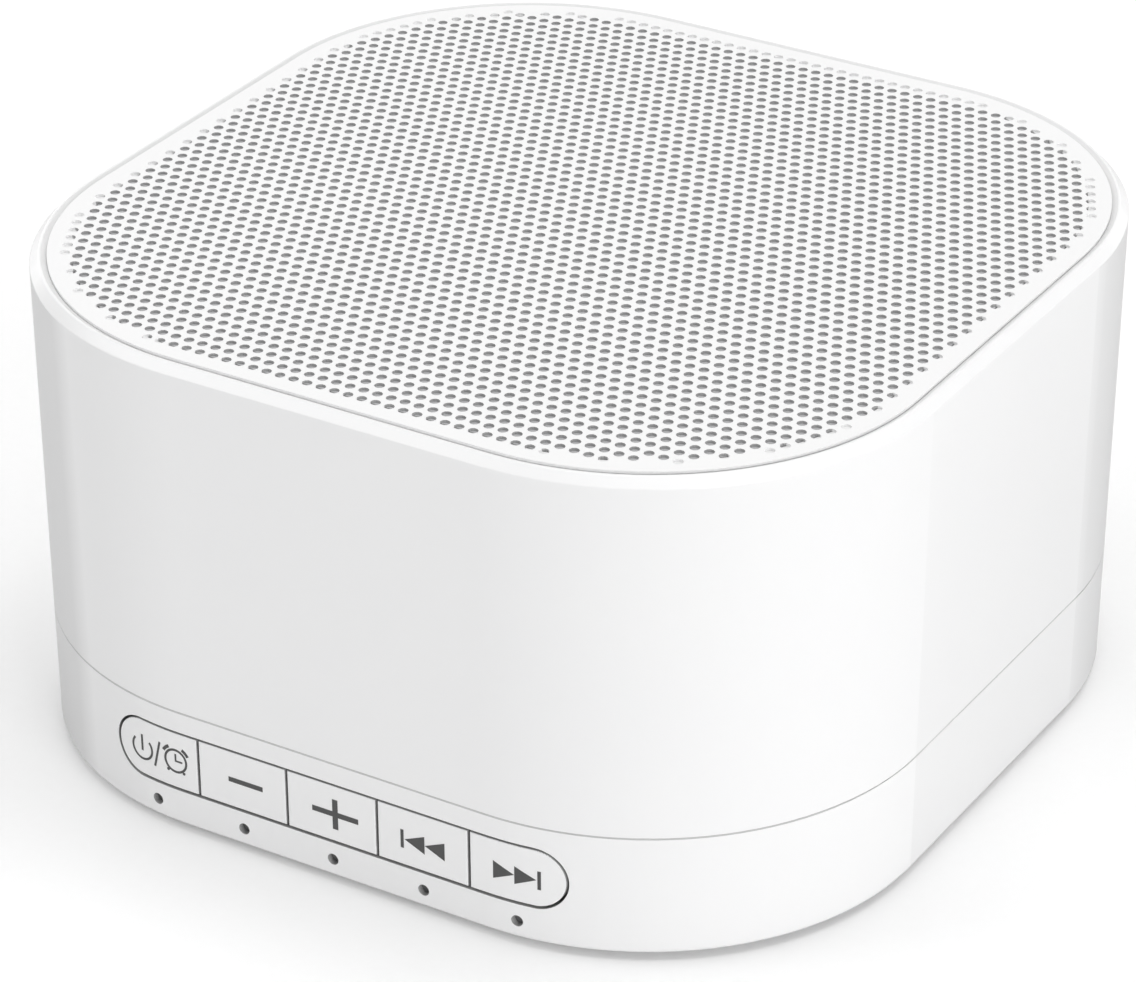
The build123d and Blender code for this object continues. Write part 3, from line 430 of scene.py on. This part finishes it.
WHITE_SHADES = ((0.86, 0.86, 0.865), (0.88, 0.88, 0.88))
REFLECTION_BAND_STOPS = ((0.0, 1.0), (0.61, 1.0), (0.70, 0.80), (0.82, 0.70), (0.94, 0.60), (1.0, 0.8))
shell_plastic, shell_surface = hard_finish("shell_plastic", WHITE_SHADES, 0.32, smudge=0.008)
painted_reflection_band(shell_plastic, shell_surface)
button_plastic, _ = hard_finish("button_plastic", WHITE_SHADES, 0.42)
grille_paint, surface = hard_finish("grille_paint", greys(0.89, 0.91), 0.6, grain=3000.0)
surface.inputs["Specular IOR Level"].default_value = 0.25
# Grey of painted shade for the walls of the holes over the cloth.
hole_wall_painted_shade, _ = hard_finish("hole_wall_painted_shade", greys(0.41, 0.47), 0.5, grain=3000.0)
print("white finishes:", shell_plastic.name, button_plastic.name, grille_paint.name)

# %% [markdown]
# The cloth behind the holes keeps dust out and hides the speaker. It is a fine even weave in
# light grey. Cloth has no sharp highlight, so its shader has a rough surface and a little sheen.


# %% Cloth finishes
def cloth_finish(name, threads_color, gap_shade_color, threads=3000.0):
    """Woven cloth: the threads' colour, the darker gaps with painted shade, and the threads in a
    metre.
    """
    finish = bpy.data.materials.new(name)
    finish.use_nodes = True
    tree = finish.node_tree
    surface = tree.nodes["Principled BSDF"]
    surface.inputs["Roughness"].default_value = 0.95
    surface.inputs["Specular IOR Level"].default_value = 0.1
    surface.inputs["Sheen Weight"].default_value = 0.2
    weave = use_group(tree, cloth_weave, Threads_per_metre=threads)
    blend = add_node(tree, "ShaderNodeMix", data_type="RGBA")
    blend.inputs[6].default_value = (*threads_color, 1)
    blend.inputs[7].default_value = (*gap_shade_color, 1)
    join(tree, weave.outputs["Gaps"], blend.inputs[0])
    join(tree, blend.outputs[2], surface.inputs["Base Color"])
    bump = add_node(tree, "ShaderNodeBump", Strength=1.0, Distance=0.02 * MM)
    join(tree, weave.outputs["Height"], bump.inputs["Height"])
    join(tree, bump.outputs["Normal"], surface.inputs["Normal"])
    return finish


grille_cloth = cloth_finish("grille_cloth", (0.57, 0.57, 0.58), (0.45, 0.45, 0.46))
spider_cloth = cloth_finish("spider_cloth", (0.62, 0.42, 0.16), (0.45, 0.28, 0.09), 1500.0)
cone_paper = cloth_finish("cone_paper", (0.05, 0.05, 0.05), (0.03, 0.03, 0.03), 900.0)
print("cloth finishes:", grille_cloth.name, spider_cloth.name, cone_paper.name)

# %% [markdown]
# The light pipe is one clear moulding. Real glass-like shading in such small holes only makes
# noise, so the rod ends take a dark grey of painted shade, as they look while the lights are off.

# %% Small finishes
# Dark grey of painted shade in place of the clear plastic.
pipe_painted_shade, _ = hard_finish("pipe_painted_shade", ((0.12, 0.12, 0.125), (0.16, 0.16, 0.16)), 0.35)
symbol_ink, _ = hard_finish("symbol_ink", greys(0.055, 0.07), 0.6, grain=9000.0, depth_mm=0.002)
foot_rubber, _ = hard_finish("foot_rubber", greys(0.50, 0.56), 0.85, grain=2500.0, depth_mm=0.02)
tape_white, _ = hard_finish("tape_white", greys(0.82, 0.86), 0.8)
print("small finishes:", pipe_painted_shade.name, symbol_ink.name, foot_rubber.name, tape_white.name)

# %% [markdown]
# Nobody sees the inside of the closed box, but the parts are there and someone may open it
# up. Each gets the finish that such a part has: solder mask on the boards, black moulding on
# the chips and switches, bare metal on the cans, ferrite, copper and rubber in the speaker.

# %% Finishes inside the box
black_plastic, _ = hard_finish("black_plastic", greys(0.02, 0.035), 0.5)
guide_plastic, _ = hard_finish("guide_plastic", greys(0.70, 0.75), 0.5)
board_mask, _ = hard_finish(
    "board_mask", ((0.01, 0.12, 0.04), (0.02, 0.16, 0.06)), 0.3, grain=1500.0, depth_mm=0.01
)
led_resin, _ = hard_finish("led_resin", ((0.80, 0.72, 0.35), (0.85, 0.78, 0.45)), 0.25)
nylon_cream, _ = hard_finish("nylon_cream", ((0.75, 0.68, 0.48), (0.80, 0.73, 0.55)), 0.5)
ribbon_film, _ = hard_finish("ribbon_film", ((0.65, 0.65, 0.66), (0.72, 0.72, 0.73)), 0.35)
ferrite, _ = hard_finish(
    "ferrite", ((0.06, 0.06, 0.065), (0.10, 0.10, 0.10)), 0.6, grain=1500.0, depth_mm=0.02
)
gasket_foam, _ = hard_finish("gasket_foam", greys(0.03, 0.05), 0.95, grain=2500.0, depth_mm=0.05)
basket_paint, _ = hard_finish("basket_paint", greys(0.03, 0.04), 0.4)
surround_rubber, _ = hard_finish("surround_rubber", greys(0.015, 0.025), 0.6)
phenolic, _ = hard_finish("phenolic", ((0.22, 0.11, 0.04), (0.28, 0.15, 0.06)), 0.4)
red_sleeve, _ = hard_finish("red_sleeve", ((0.45, 0.01, 0.01), (0.52, 0.02, 0.02)), 0.4)
black_sleeve, _ = hard_finish("black_sleeve", greys(0.015, 0.03), 0.4)
zinc_plate = metal_finish("zinc_plate", greys(0.62, 0.70), 0.3)
nickel_plate = metal_finish("nickel_plate", ((0.60, 0.58, 0.55), (0.68, 0.66, 0.62)), 0.28)
can_metal = metal_finish("can_metal", ((0.75, 0.75, 0.76), (0.82, 0.82, 0.83)), 0.35)
copper = metal_finish("copper", ((0.72, 0.38, 0.22), (0.80, 0.45, 0.28)), 0.3)
print("materials so far:", len(bpy.data.materials))

# %% [markdown]
# ## Dressing the solid parts
#
# A solid part keeps its shape and its place, and only its material changes. The table says
# which finish each part has.

# %% Finish of each part
BUTTONS = ("power", "volume_down", "volume_up", "previous", "next")

finish_of = {
    shell_plastic: ["upper_shell", "lower_shell"],
    button_plastic: [name + "_button" for name in BUTTONS],
    grille_paint: ["grille"],
    grille_cloth: ["grille_cloth"],
    tape_white: ["grille_tape"],
    foot_rubber: ["feet"],
    pipe_painted_shade: ["light_pipe"],
    zinc_plate: [
        "shell_screws", "plate_screws", "board_screws", "speaker_screws", "top_plate", "yoke"
    ],
    nickel_plate: ["power_inlet"],
    can_metal: ["capacitors"],
    copper: ["voice_coil", "speaker_lugs"],
    board_mask: ["main_board", "button_board"],
    black_plastic: [
        "switch_bodies", "board_chips", "speaker_plug", "inlet_core",
        *[name + "_switch_plunger" for name in BUTTONS],
    ],
    guide_plastic: ["button_guide", "speaker_plate"],
    led_resin: ["indicator_leds"],
    nylon_cream: ["speaker_socket", "ribbon_sockets"],
    ribbon_film: ["ribbon_cable"],
    ferrite: ["magnet", "power_coil"],
    gasket_foam: ["speaker_gasket"],
    basket_paint: ["speaker_basket"],
    cone_paper: ["speaker_cone", "dust_cap"],
    surround_rubber: ["speaker_surround"],
    spider_cloth: ["spider"],
    phenolic: ["terminal_board"],
    red_sleeve: ["speaker_wire_red"],
    black_sleeve: ["speaker_wire_black"],
}
dressed = set()
for finish, names in finish_of.items():
    for name in names:
        part_mesh = nodes[name].data
        part_mesh.materials.clear()
        part_mesh.materials.append(finish)
        dressed.add(name)
print("dressed:", len(dressed), "still bare:", sorted(set(nodes) - dressed))

# %% [markdown]
# The gaps round the buttons, the small holes under them and the bevels at the seam never get
# much light, so their faces take a greyer colour as painted shade. Only those faces of the
# shells and buttons take it. They are picked by where they are, in millimetres, and which way
# they face. The slope that leads from the top rim down to the sheet takes a lighter grey of
# painted shade too.

# %% Faces inside gaps
# Greys of painted shade: slot and hole sides, seam bevels, and the rim slope.
gap_painted_shade, _ = hard_finish("gap_painted_shade", greys(0.36, 0.42), 0.6)
seam_painted_shade, _ = hard_finish("seam_painted_shade", greys(0.56, 0.62), 0.6)
rim_painted_shade, _ = hard_finish("rim_painted_shade", greys(0.72, 0.77), 0.5)
SEAM_HEIGHT = 14.6
BEVEL_REACH = 0.13
FRONT_START = -40
INDICATOR_HEIGHT = 2.9
INDICATOR_PLACES = (-22, -11, 0, 11, 22)
INDICATOR_REACH = 0.8
SLOT_BOTTOM, SLOT_TOP = 4.8, 12.3
SLOT_HALF_WIDTH = 27.6
RIM_START = 54.7
SLOPE_LEAST, SLOPE_MOST = 0.8, 0.95


def repaint(name, finish, chosen):
    """Second colour, a painted shade, for the faces the test picks by middle, in mm, and
    direction.
    """
    data = nodes[name].data
    data.materials.append(finish)
    place = nodes[name].matrix_world
    picked = [f for f in data.polygons if chosen(place @ f.center / MM, f.normal)]
    for face in picked:
        face.material_index = len(data.materials) - 1
    print(name, "has", len(picked), "faces in", finish.name)


def in_slot_or_hole(middle, normal):
    """Whether a face belongs to the side of the button slot or of an indicator hole."""
    if middle.y > FRONT_START or abs(normal.y) > 0.5:
        return False
    from_hole = min(
        math.hypot(middle.x - x, middle.z - INDICATOR_HEIGHT) for x in INDICATOR_PLACES
    )
    in_slot = SLOT_BOTTOM < middle.z < SLOT_TOP and abs(middle.x) < SLOT_HALF_WIDTH
    return from_hole < INDICATOR_REACH or in_slot


def on_seam_bevel(middle, normal):
    """Whether a face belongs to a bevel at the seam between the shells."""
    return abs(middle.z - SEAM_HEIGHT) < BEVEL_REACH and abs(normal.z) > 0.3


def on_button_side(middle, normal):
    """Whether a button's face looks sideways, up or down, and not to the front or back."""
    return abs(normal.y) < 0.5


def on_rim_slope(middle, normal):
    """Whether a face belongs to the slope inside the top rim."""
    inward = normal.x * middle.x + normal.y * middle.y < 0
    return middle.z > RIM_START and SLOPE_LEAST < normal.z < SLOPE_MOST and inward


repaint("upper_shell", rim_painted_shade, on_rim_slope)
for name in ("upper_shell", "lower_shell"):
    repaint(name, seam_painted_shade, on_seam_bevel)
repaint("lower_shell", gap_painted_shade, in_slot_or_hole)
for name in BUTTONS:
    repaint(name + "_button", gap_painted_shade, on_button_side)

# %% [markdown]
# ## The perforated sheet
#
# The real sheet has more than three thousand small holes. The solid model carries a coarser
# sheet, so this cell builds the fine one. Cutting three thousand holes with booleans would
# take minutes, and a picture of holes would look flat from the side. Instead the sheet is
# laid like bricks: every hole sits in its own small brick, the rows are shifted by half a
# brick, and each brick is a ring of faces between its edge and its hole. A border fills the
# rest, out to the rounded outline. The walls of the holes over the cloth take a grey of
# painted shade, where the cloth swallows the light; over the tape round it they stay white.

# %% Places of the holes
GRILLE_TOP = 55.2
GRILLE_THICKNESS = 0.3
GRILLE_HALF = 48.84
CORNER_CENTRE = 18.6
PITCH = 1.6
HOLE_RADIUS = 0.55
FIELD_HALF = 47.0
TAPE_START = 46.4
HOLE_SIDES = 10
CORNER_STEPS = 32


def reach(x, y):
    """Half width of the rounded square, with the sheet's corner centres, through a point."""
    return CORNER_CENTRE + math.hypot(
        max(abs(x) - CORNER_CENTRE, 0), max(abs(y) - CORNER_CENTRE, 0)
    )


row_count = int(FIELD_HALF / PITCH)
hole_cells = []
for row in range(-row_count, row_count + 1):
    for column in range(-row_count - 1, row_count + 1):
        x, y = (column + row % 2 / 2) * PITCH, row * PITCH
        if reach(x, y) <= FIELD_HALF:
            hole_cells.append((2 * column + row % 2, row))
print("holes in the sheet:", len(hole_cells))

# %% Bricks and border
# A brick's six outer points, in half pitches from its middle, anticlockwise.
BRICK = [(1, -1), (1, 1), (0, 1), (-1, 1), (-1, -1), (0, -1)]

corner_points = {}
flat_points = []
ring_faces = []
hole_rims = []
brick_edges = set()


def brick_point(i, j):
    """Number of the shared point at i, j half pitches."""
    if (i, j) not in corner_points:
        corner_points[i, j] = len(flat_points)
        flat_points.append((i * PITCH / 2, j * PITCH / 2))
    return corner_points[i, j]


for i, row in hole_cells:
    rim = []
    for side in range(HOLE_SIDES):
        angle = math.tau * side / HOLE_SIDES
        rim.append(len(flat_points))
        flat_points.append(
            (
                i * PITCH / 2 + HOLE_RADIUS * math.cos(angle),
                row * PITCH + HOLE_RADIUS * math.sin(angle),
            )
        )
    hole_rims.append(rim)
    outer = [brick_point(i + a, 2 * row + b) for a, b in BRICK]
    # An edge that two bricks share comes up once in each direction, and cancels out.
    for start, end in zip(outer, outer[1:] + outer[:1]):
        if (end, start) in brick_edges:
            brick_edges.remove((end, start))
        else:
            brick_edges.add((start, end))
    # Each outer point is joined to the rim point that lies in its own direction.
    nearest = [
        round(math.atan2(b, a) / math.tau * HOLE_SIDES) % HOLE_SIDES for a, b in BRICK
    ]
    for index, point in enumerate(outer):
        following = (index + 1) % len(outer)
        first, last = nearest[index], nearest[following]
        steps = (last - first) % HOLE_SIDES
        chain = [rim[(first + k) % HOLE_SIDES] for k in range(steps + 1)]
        for a, b in zip(chain, chain[1:]):
            ring_faces.append((point, b, a))
        ring_faces.append((point, outer[following], chain[-1]))

# The edges that are left belong to one brick only, and run round the whole field.
next_of = dict(brick_edges)
loop = [next(iter(next_of))]
while next_of[loop[-1]] != loop[0]:
    loop.append(next_of[loop[-1]])
outline = []
radius = GRILLE_HALF - CORNER_CENTRE
for quarter in range(4):
    for step in range(CORNER_STEPS + 1):
        angle = math.radians(90 * (quarter + step / CORNER_STEPS))
        centre_x = CORNER_CENTRE * (1 if quarter in (0, 3) else -1)
        centre_y = CORNER_CENTRE * (1 if quarter in (0, 1) else -1)
        outline.append(
            (centre_x + radius * math.cos(angle), centre_y + radius * math.sin(angle))
        )
outline_numbers = list(range(len(flat_points), len(flat_points) + len(outline)))
flat_points += outline
border = outline_numbers + loop
border_faces = geometry.tessellate_polygon(
    [
        [Vector((*flat_points[n], 0)) for n in outline_numbers],
        [Vector((*flat_points[n], 0)) for n in loop],
    ]
)
ring_faces += [tuple(border[n] for n in face) for face in border_faces]
print("points:", len(flat_points), "faces on top:", len(ring_faces), "border:", len(border_faces))

# %% The sheet as a solid piece
above = len(flat_points)
points = [
    Vector((x, y, height)) * MM
    for height in (GRILLE_TOP, GRILLE_TOP - GRILLE_THICKNESS)
    for x, y in flat_points
]
faces = ring_faces + [tuple(n + above for n in reversed(face)) for face in ring_faces]
skin_count = len(faces)
for rim in [outline_numbers] + hole_rims:
    faces += [(a, b, b + above, a + above) for a, b in zip(rim, rim[1:] + rim[:1])]
sheet_mesh = bpy.data.meshes.new("fine_grille")
sheet_mesh.from_pydata(points, [], faces)
turned = bmesh.new()
turned.from_mesh(sheet_mesh)
bmesh.ops.recalc_face_normals(turned, faces=turned.faces)
turned.to_mesh(sheet_mesh)
turned.free()
sheet_mesh.materials.append(grille_paint)
sheet_mesh.materials.append(hole_wall_painted_shade)
# Hole walls over the cloth take the painted shade; the outline's edge and the walls over the tape
# stay white.
for face in sheet_mesh.polygons[skin_count:]:
    if reach(face.center.x / MM, face.center.y / MM) < TAPE_START:
        face.material_index = 1
fine_grille = bpy.data.objects.new("fine_grille", sheet_mesh)
bpy.context.scene.collection.objects.link(fine_grille)
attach(fine_grille, "housing")
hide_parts("grille")
print("fine grille has", len(sheet_mesh.polygons), "faces")

# %% [markdown]
# ## Symbols on the buttons
#
# The symbols are printed in grey ink. They could be a picture on the surface, or cut into the
# plastic. Here each one is its own very thin piece, because then it has a crisp edge from any
# distance and moves with its button. They are drawn flat, in millimetres across and up the
# front, and then laid on the wall, which is flat in the middle, curved towards the corners,
# and leans in slightly towards the bottom.

# %% Laying a flat drawing on the front wall
TOP_HALF_WIDTH = 50.7
WALL_LEAN = math.tan(math.radians(0.6))
INK_HEIGHT = 0.02
INK_SUNK = 0.03
LONGEST_EDGE = 0.7
BUTTON_MIDDLE = 8.5


def on_front_wall(x, z, proud):
    """Point on the front wall at this x and height, standing proud by so much; all in mm."""
    radius = TOP_HALF_WIDTH - (GRILLE_TOP - z) * WALL_LEAN - CORNER_CENTRE + proud
    past = max(abs(x) - CORNER_CENTRE, 0.0)
    y = -CORNER_CENTRE - math.sqrt(radius**2 - past**2)
    return Vector((x, y, z)) * MM


wall_y = on_front_wall(0, BUTTON_MIDDLE, 0).y / MM
print("front wall at the middle of the buttons: y =", round(wall_y, 2), "mm")


# %% Drawing aids
def bar(start, end, width):
    """Straight stroke from start to end, as one four-sided outline."""
    a, b = Vector(start), Vector(end)
    side = Vector((a.y - b.y, b.x - a.x)).normalized() * width / 2
    return [[a + side, a - side, b - side, b + side]]


def arc(centre, radius, first, last, width, steps=40):
    """Curved stroke, as a row of short four-sided outlines; angles in degrees."""
    inner, outer = radius - width / 2, radius + width / 2
    angles = [math.radians(first + (last - first) * i / steps) for i in range(steps + 1)]
    rays = [Vector((math.cos(a), math.sin(a))) for a in angles]
    middle = Vector(centre)
    return [
        [middle + p * inner, middle + p * outer, middle + q * outer, middle + q * inner]
        for p, q in zip(rays, rays[1:])
    ]


def disc(centre, radius, steps=20):
    """Small round spot, as a fan of triangles."""
    middle = Vector(centre)
    rim = [
        middle + radius * Vector((math.cos(math.tau * i / steps), math.sin(math.tau * i / steps)))
        for i in range(steps)
    ]
    return [[middle, rim[i], rim[(i + 1) % steps]] for i in range(steps)]


def print_symbol(name, outlines, body):
    """One thin printed piece from flat outlines, laid on the front wall and riding on body."""
    mesh = bmesh.new()
    for outline in outlines:
        face = mesh.faces.new([mesh.verts.new((p.x, p.y, 0.0)) for p in outline])
        if face.normal.z < 0:
            face.normal_flip()
    bmesh.ops.subdivide_edges(
        mesh,
        edges=[e for e in mesh.edges if e.calc_length() > LONGEST_EDGE],
        cuts=2,
        use_grid_fill=True,
    )
    bmesh.ops.remove_doubles(mesh, verts=mesh.verts, dist=0.001)
    bmesh.ops.recalc_face_normals(mesh, faces=mesh.faces)
    lifted = bmesh.ops.extrude_face_region(mesh, geom=list(mesh.faces))
    for item in lifted["geom"]:
        if isinstance(item, bmesh.types.BMVert):
            item.co.z = 1.0
    for vert in mesh.verts:
        proud = INK_HEIGHT if vert.co.z > 0.5 else -INK_SUNK
        vert.co = on_front_wall(vert.co.x, vert.co.y, proud)
    bmesh.ops.recalc_face_normals(mesh, faces=mesh.faces)
    data = bpy.data.meshes.new(name)
    mesh.to_mesh(data)
    mesh.free()
    data.materials.append(symbol_ink)
    piece = bpy.data.objects.new(name, data)
    bpy.context.scene.collection.objects.link(piece)
    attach(piece, body)
    print(name, "has", len(data.polygons), "faces")


# %% [markdown]
# The first button carries the usual power sign, a stroke, and a small alarm clock for the
# timer. The clock is a ring with two hands, two bells at its shoulders and two feet.

# %% Power and timer symbol
THIN = 0.26
POWER_X = -23.87
POWER_RADIUS = 1.36
POWER_ARC = (137, 403)
SIGN_REACH = 1.6
STROKE_FOOT, STROKE_TOP = -22.18, -21.40
CLOCK_X = -19.36
CLOCK_RADIUS = 1.34
HAND_LENGTH, HAND_WIDTH = 0.85, 0.2
BELL_OFFSET, BELL_LEAN, BELL_HALF_ANGLE, BELL_WIDTH = 0.45, 44, 16, 0.36
TOE_OFFSET, TOE_LEAN, TOE_RADIUS = 0.28, 38, 0.18

power_sign = arc((POWER_X, BUTTON_MIDDLE), POWER_RADIUS, *POWER_ARC, THIN)
power_sign += bar(
    (POWER_X, BUTTON_MIDDLE - 0.35), (POWER_X, BUTTON_MIDDLE + SIGN_REACH), THIN
)
stroke = bar(
    (STROKE_FOOT, BUTTON_MIDDLE - SIGN_REACH), (STROKE_TOP, BUTTON_MIDDLE + SIGN_REACH), THIN
)
clock_middle = Vector((CLOCK_X, BUTTON_MIDDLE))
clock = arc(clock_middle, CLOCK_RADIUS, 0, 360, THIN, steps=60)
clock += bar(clock_middle - Vector((0, 0.1)), clock_middle + Vector((0, HAND_LENGTH)), HAND_WIDTH)
clock += bar(clock_middle, clock_middle + Vector((HAND_LENGTH, 0)), HAND_WIDTH)
for side in (-1, 1):
    shoulder = 90 - BELL_LEAN * side
    clock += arc(
        clock_middle, CLOCK_RADIUS + BELL_OFFSET,
        shoulder - BELL_HALF_ANGLE, shoulder + BELL_HALF_ANGLE, BELL_WIDTH, steps=10,
    )
    foot_angle = math.radians(270 + TOE_LEAN * side)
    outward = Vector((math.cos(foot_angle), math.sin(foot_angle)))
    clock += disc(clock_middle + outward * (CLOCK_RADIUS + TOE_OFFSET), TOE_RADIUS)
print_symbol("power_symbol", power_sign, "power_button")
print_symbol("stroke_symbol", stroke, "power_button")
print_symbol("timer_symbol", clock, "power_button")

# %% [markdown]
# Volume down and up are a plain minus and plus. Previous and next are two triangles against
# a bar, as on any player.

# %% Volume symbols
MINUS_X, MINUS_REACH, MINUS_WIDTH = -10.57, 2.12, 0.58
PLUS_X, PLUS_REACH, PLUS_WIDTH = 0.46, 2.8, 0.64
UPRIGHT_REACH, UPRIGHT_WIDTH = 1.8, 0.66

minus_height = BUTTON_MIDDLE + 0.05
minus = bar(
    (MINUS_X - MINUS_REACH, minus_height), (MINUS_X + MINUS_REACH, minus_height), MINUS_WIDTH
)
plus = bar((PLUS_X - PLUS_REACH, BUTTON_MIDDLE), (PLUS_X + PLUS_REACH, BUTTON_MIDDLE), PLUS_WIDTH)
for way in (-1, 1):
    start, end = BUTTON_MIDDLE + way * PLUS_WIDTH / 2, BUTTON_MIDDLE + way * UPRIGHT_REACH
    plus += bar((PLUS_X, start), (PLUS_X, end), UPRIGHT_WIDTH)
print_symbol("minus_symbol", minus, "volume_down_button")
print_symbol("plus_symbol", plus, "volume_up_button")

# %% Track symbols
TRIANGLE_LENGTH = 2.37
TRIANGLE_HALF = 1.06
TRIANGLE_GAP = 0.03
BAR_WIDTH = 0.37
BAR_HALF = 1.1
BAR_GAP = 0.12
PREVIOUS_BAR_X = 8.56
NEXT_BAR_X = 24.44


def track_symbol(bar_x, way):
    """Bar and two triangles that point at it; way is the direction they point in."""
    middle = BUTTON_MIDDLE - 0.13
    shapes = bar((bar_x, middle - BAR_HALF), (bar_x, middle + BAR_HALF), BAR_WIDTH)
    for index in range(2):
        from_bar = BAR_WIDTH / 2 + BAR_GAP + index * (TRIANGLE_LENGTH + TRIANGLE_GAP)
        tip = bar_x - way * from_bar
        base = tip - way * TRIANGLE_LENGTH
        shapes.append(
            [
                Vector((tip, middle)),
                Vector((base, middle + TRIANGLE_HALF)),
                Vector((base, middle - TRIANGLE_HALF)),
            ]
        )
    return shapes


print_symbol("previous_symbol", track_symbol(PREVIOUS_BAR_X, -1), "previous_button")
print_symbol("next_symbol", track_symbol(NEXT_BAR_X, 1), "next_button")
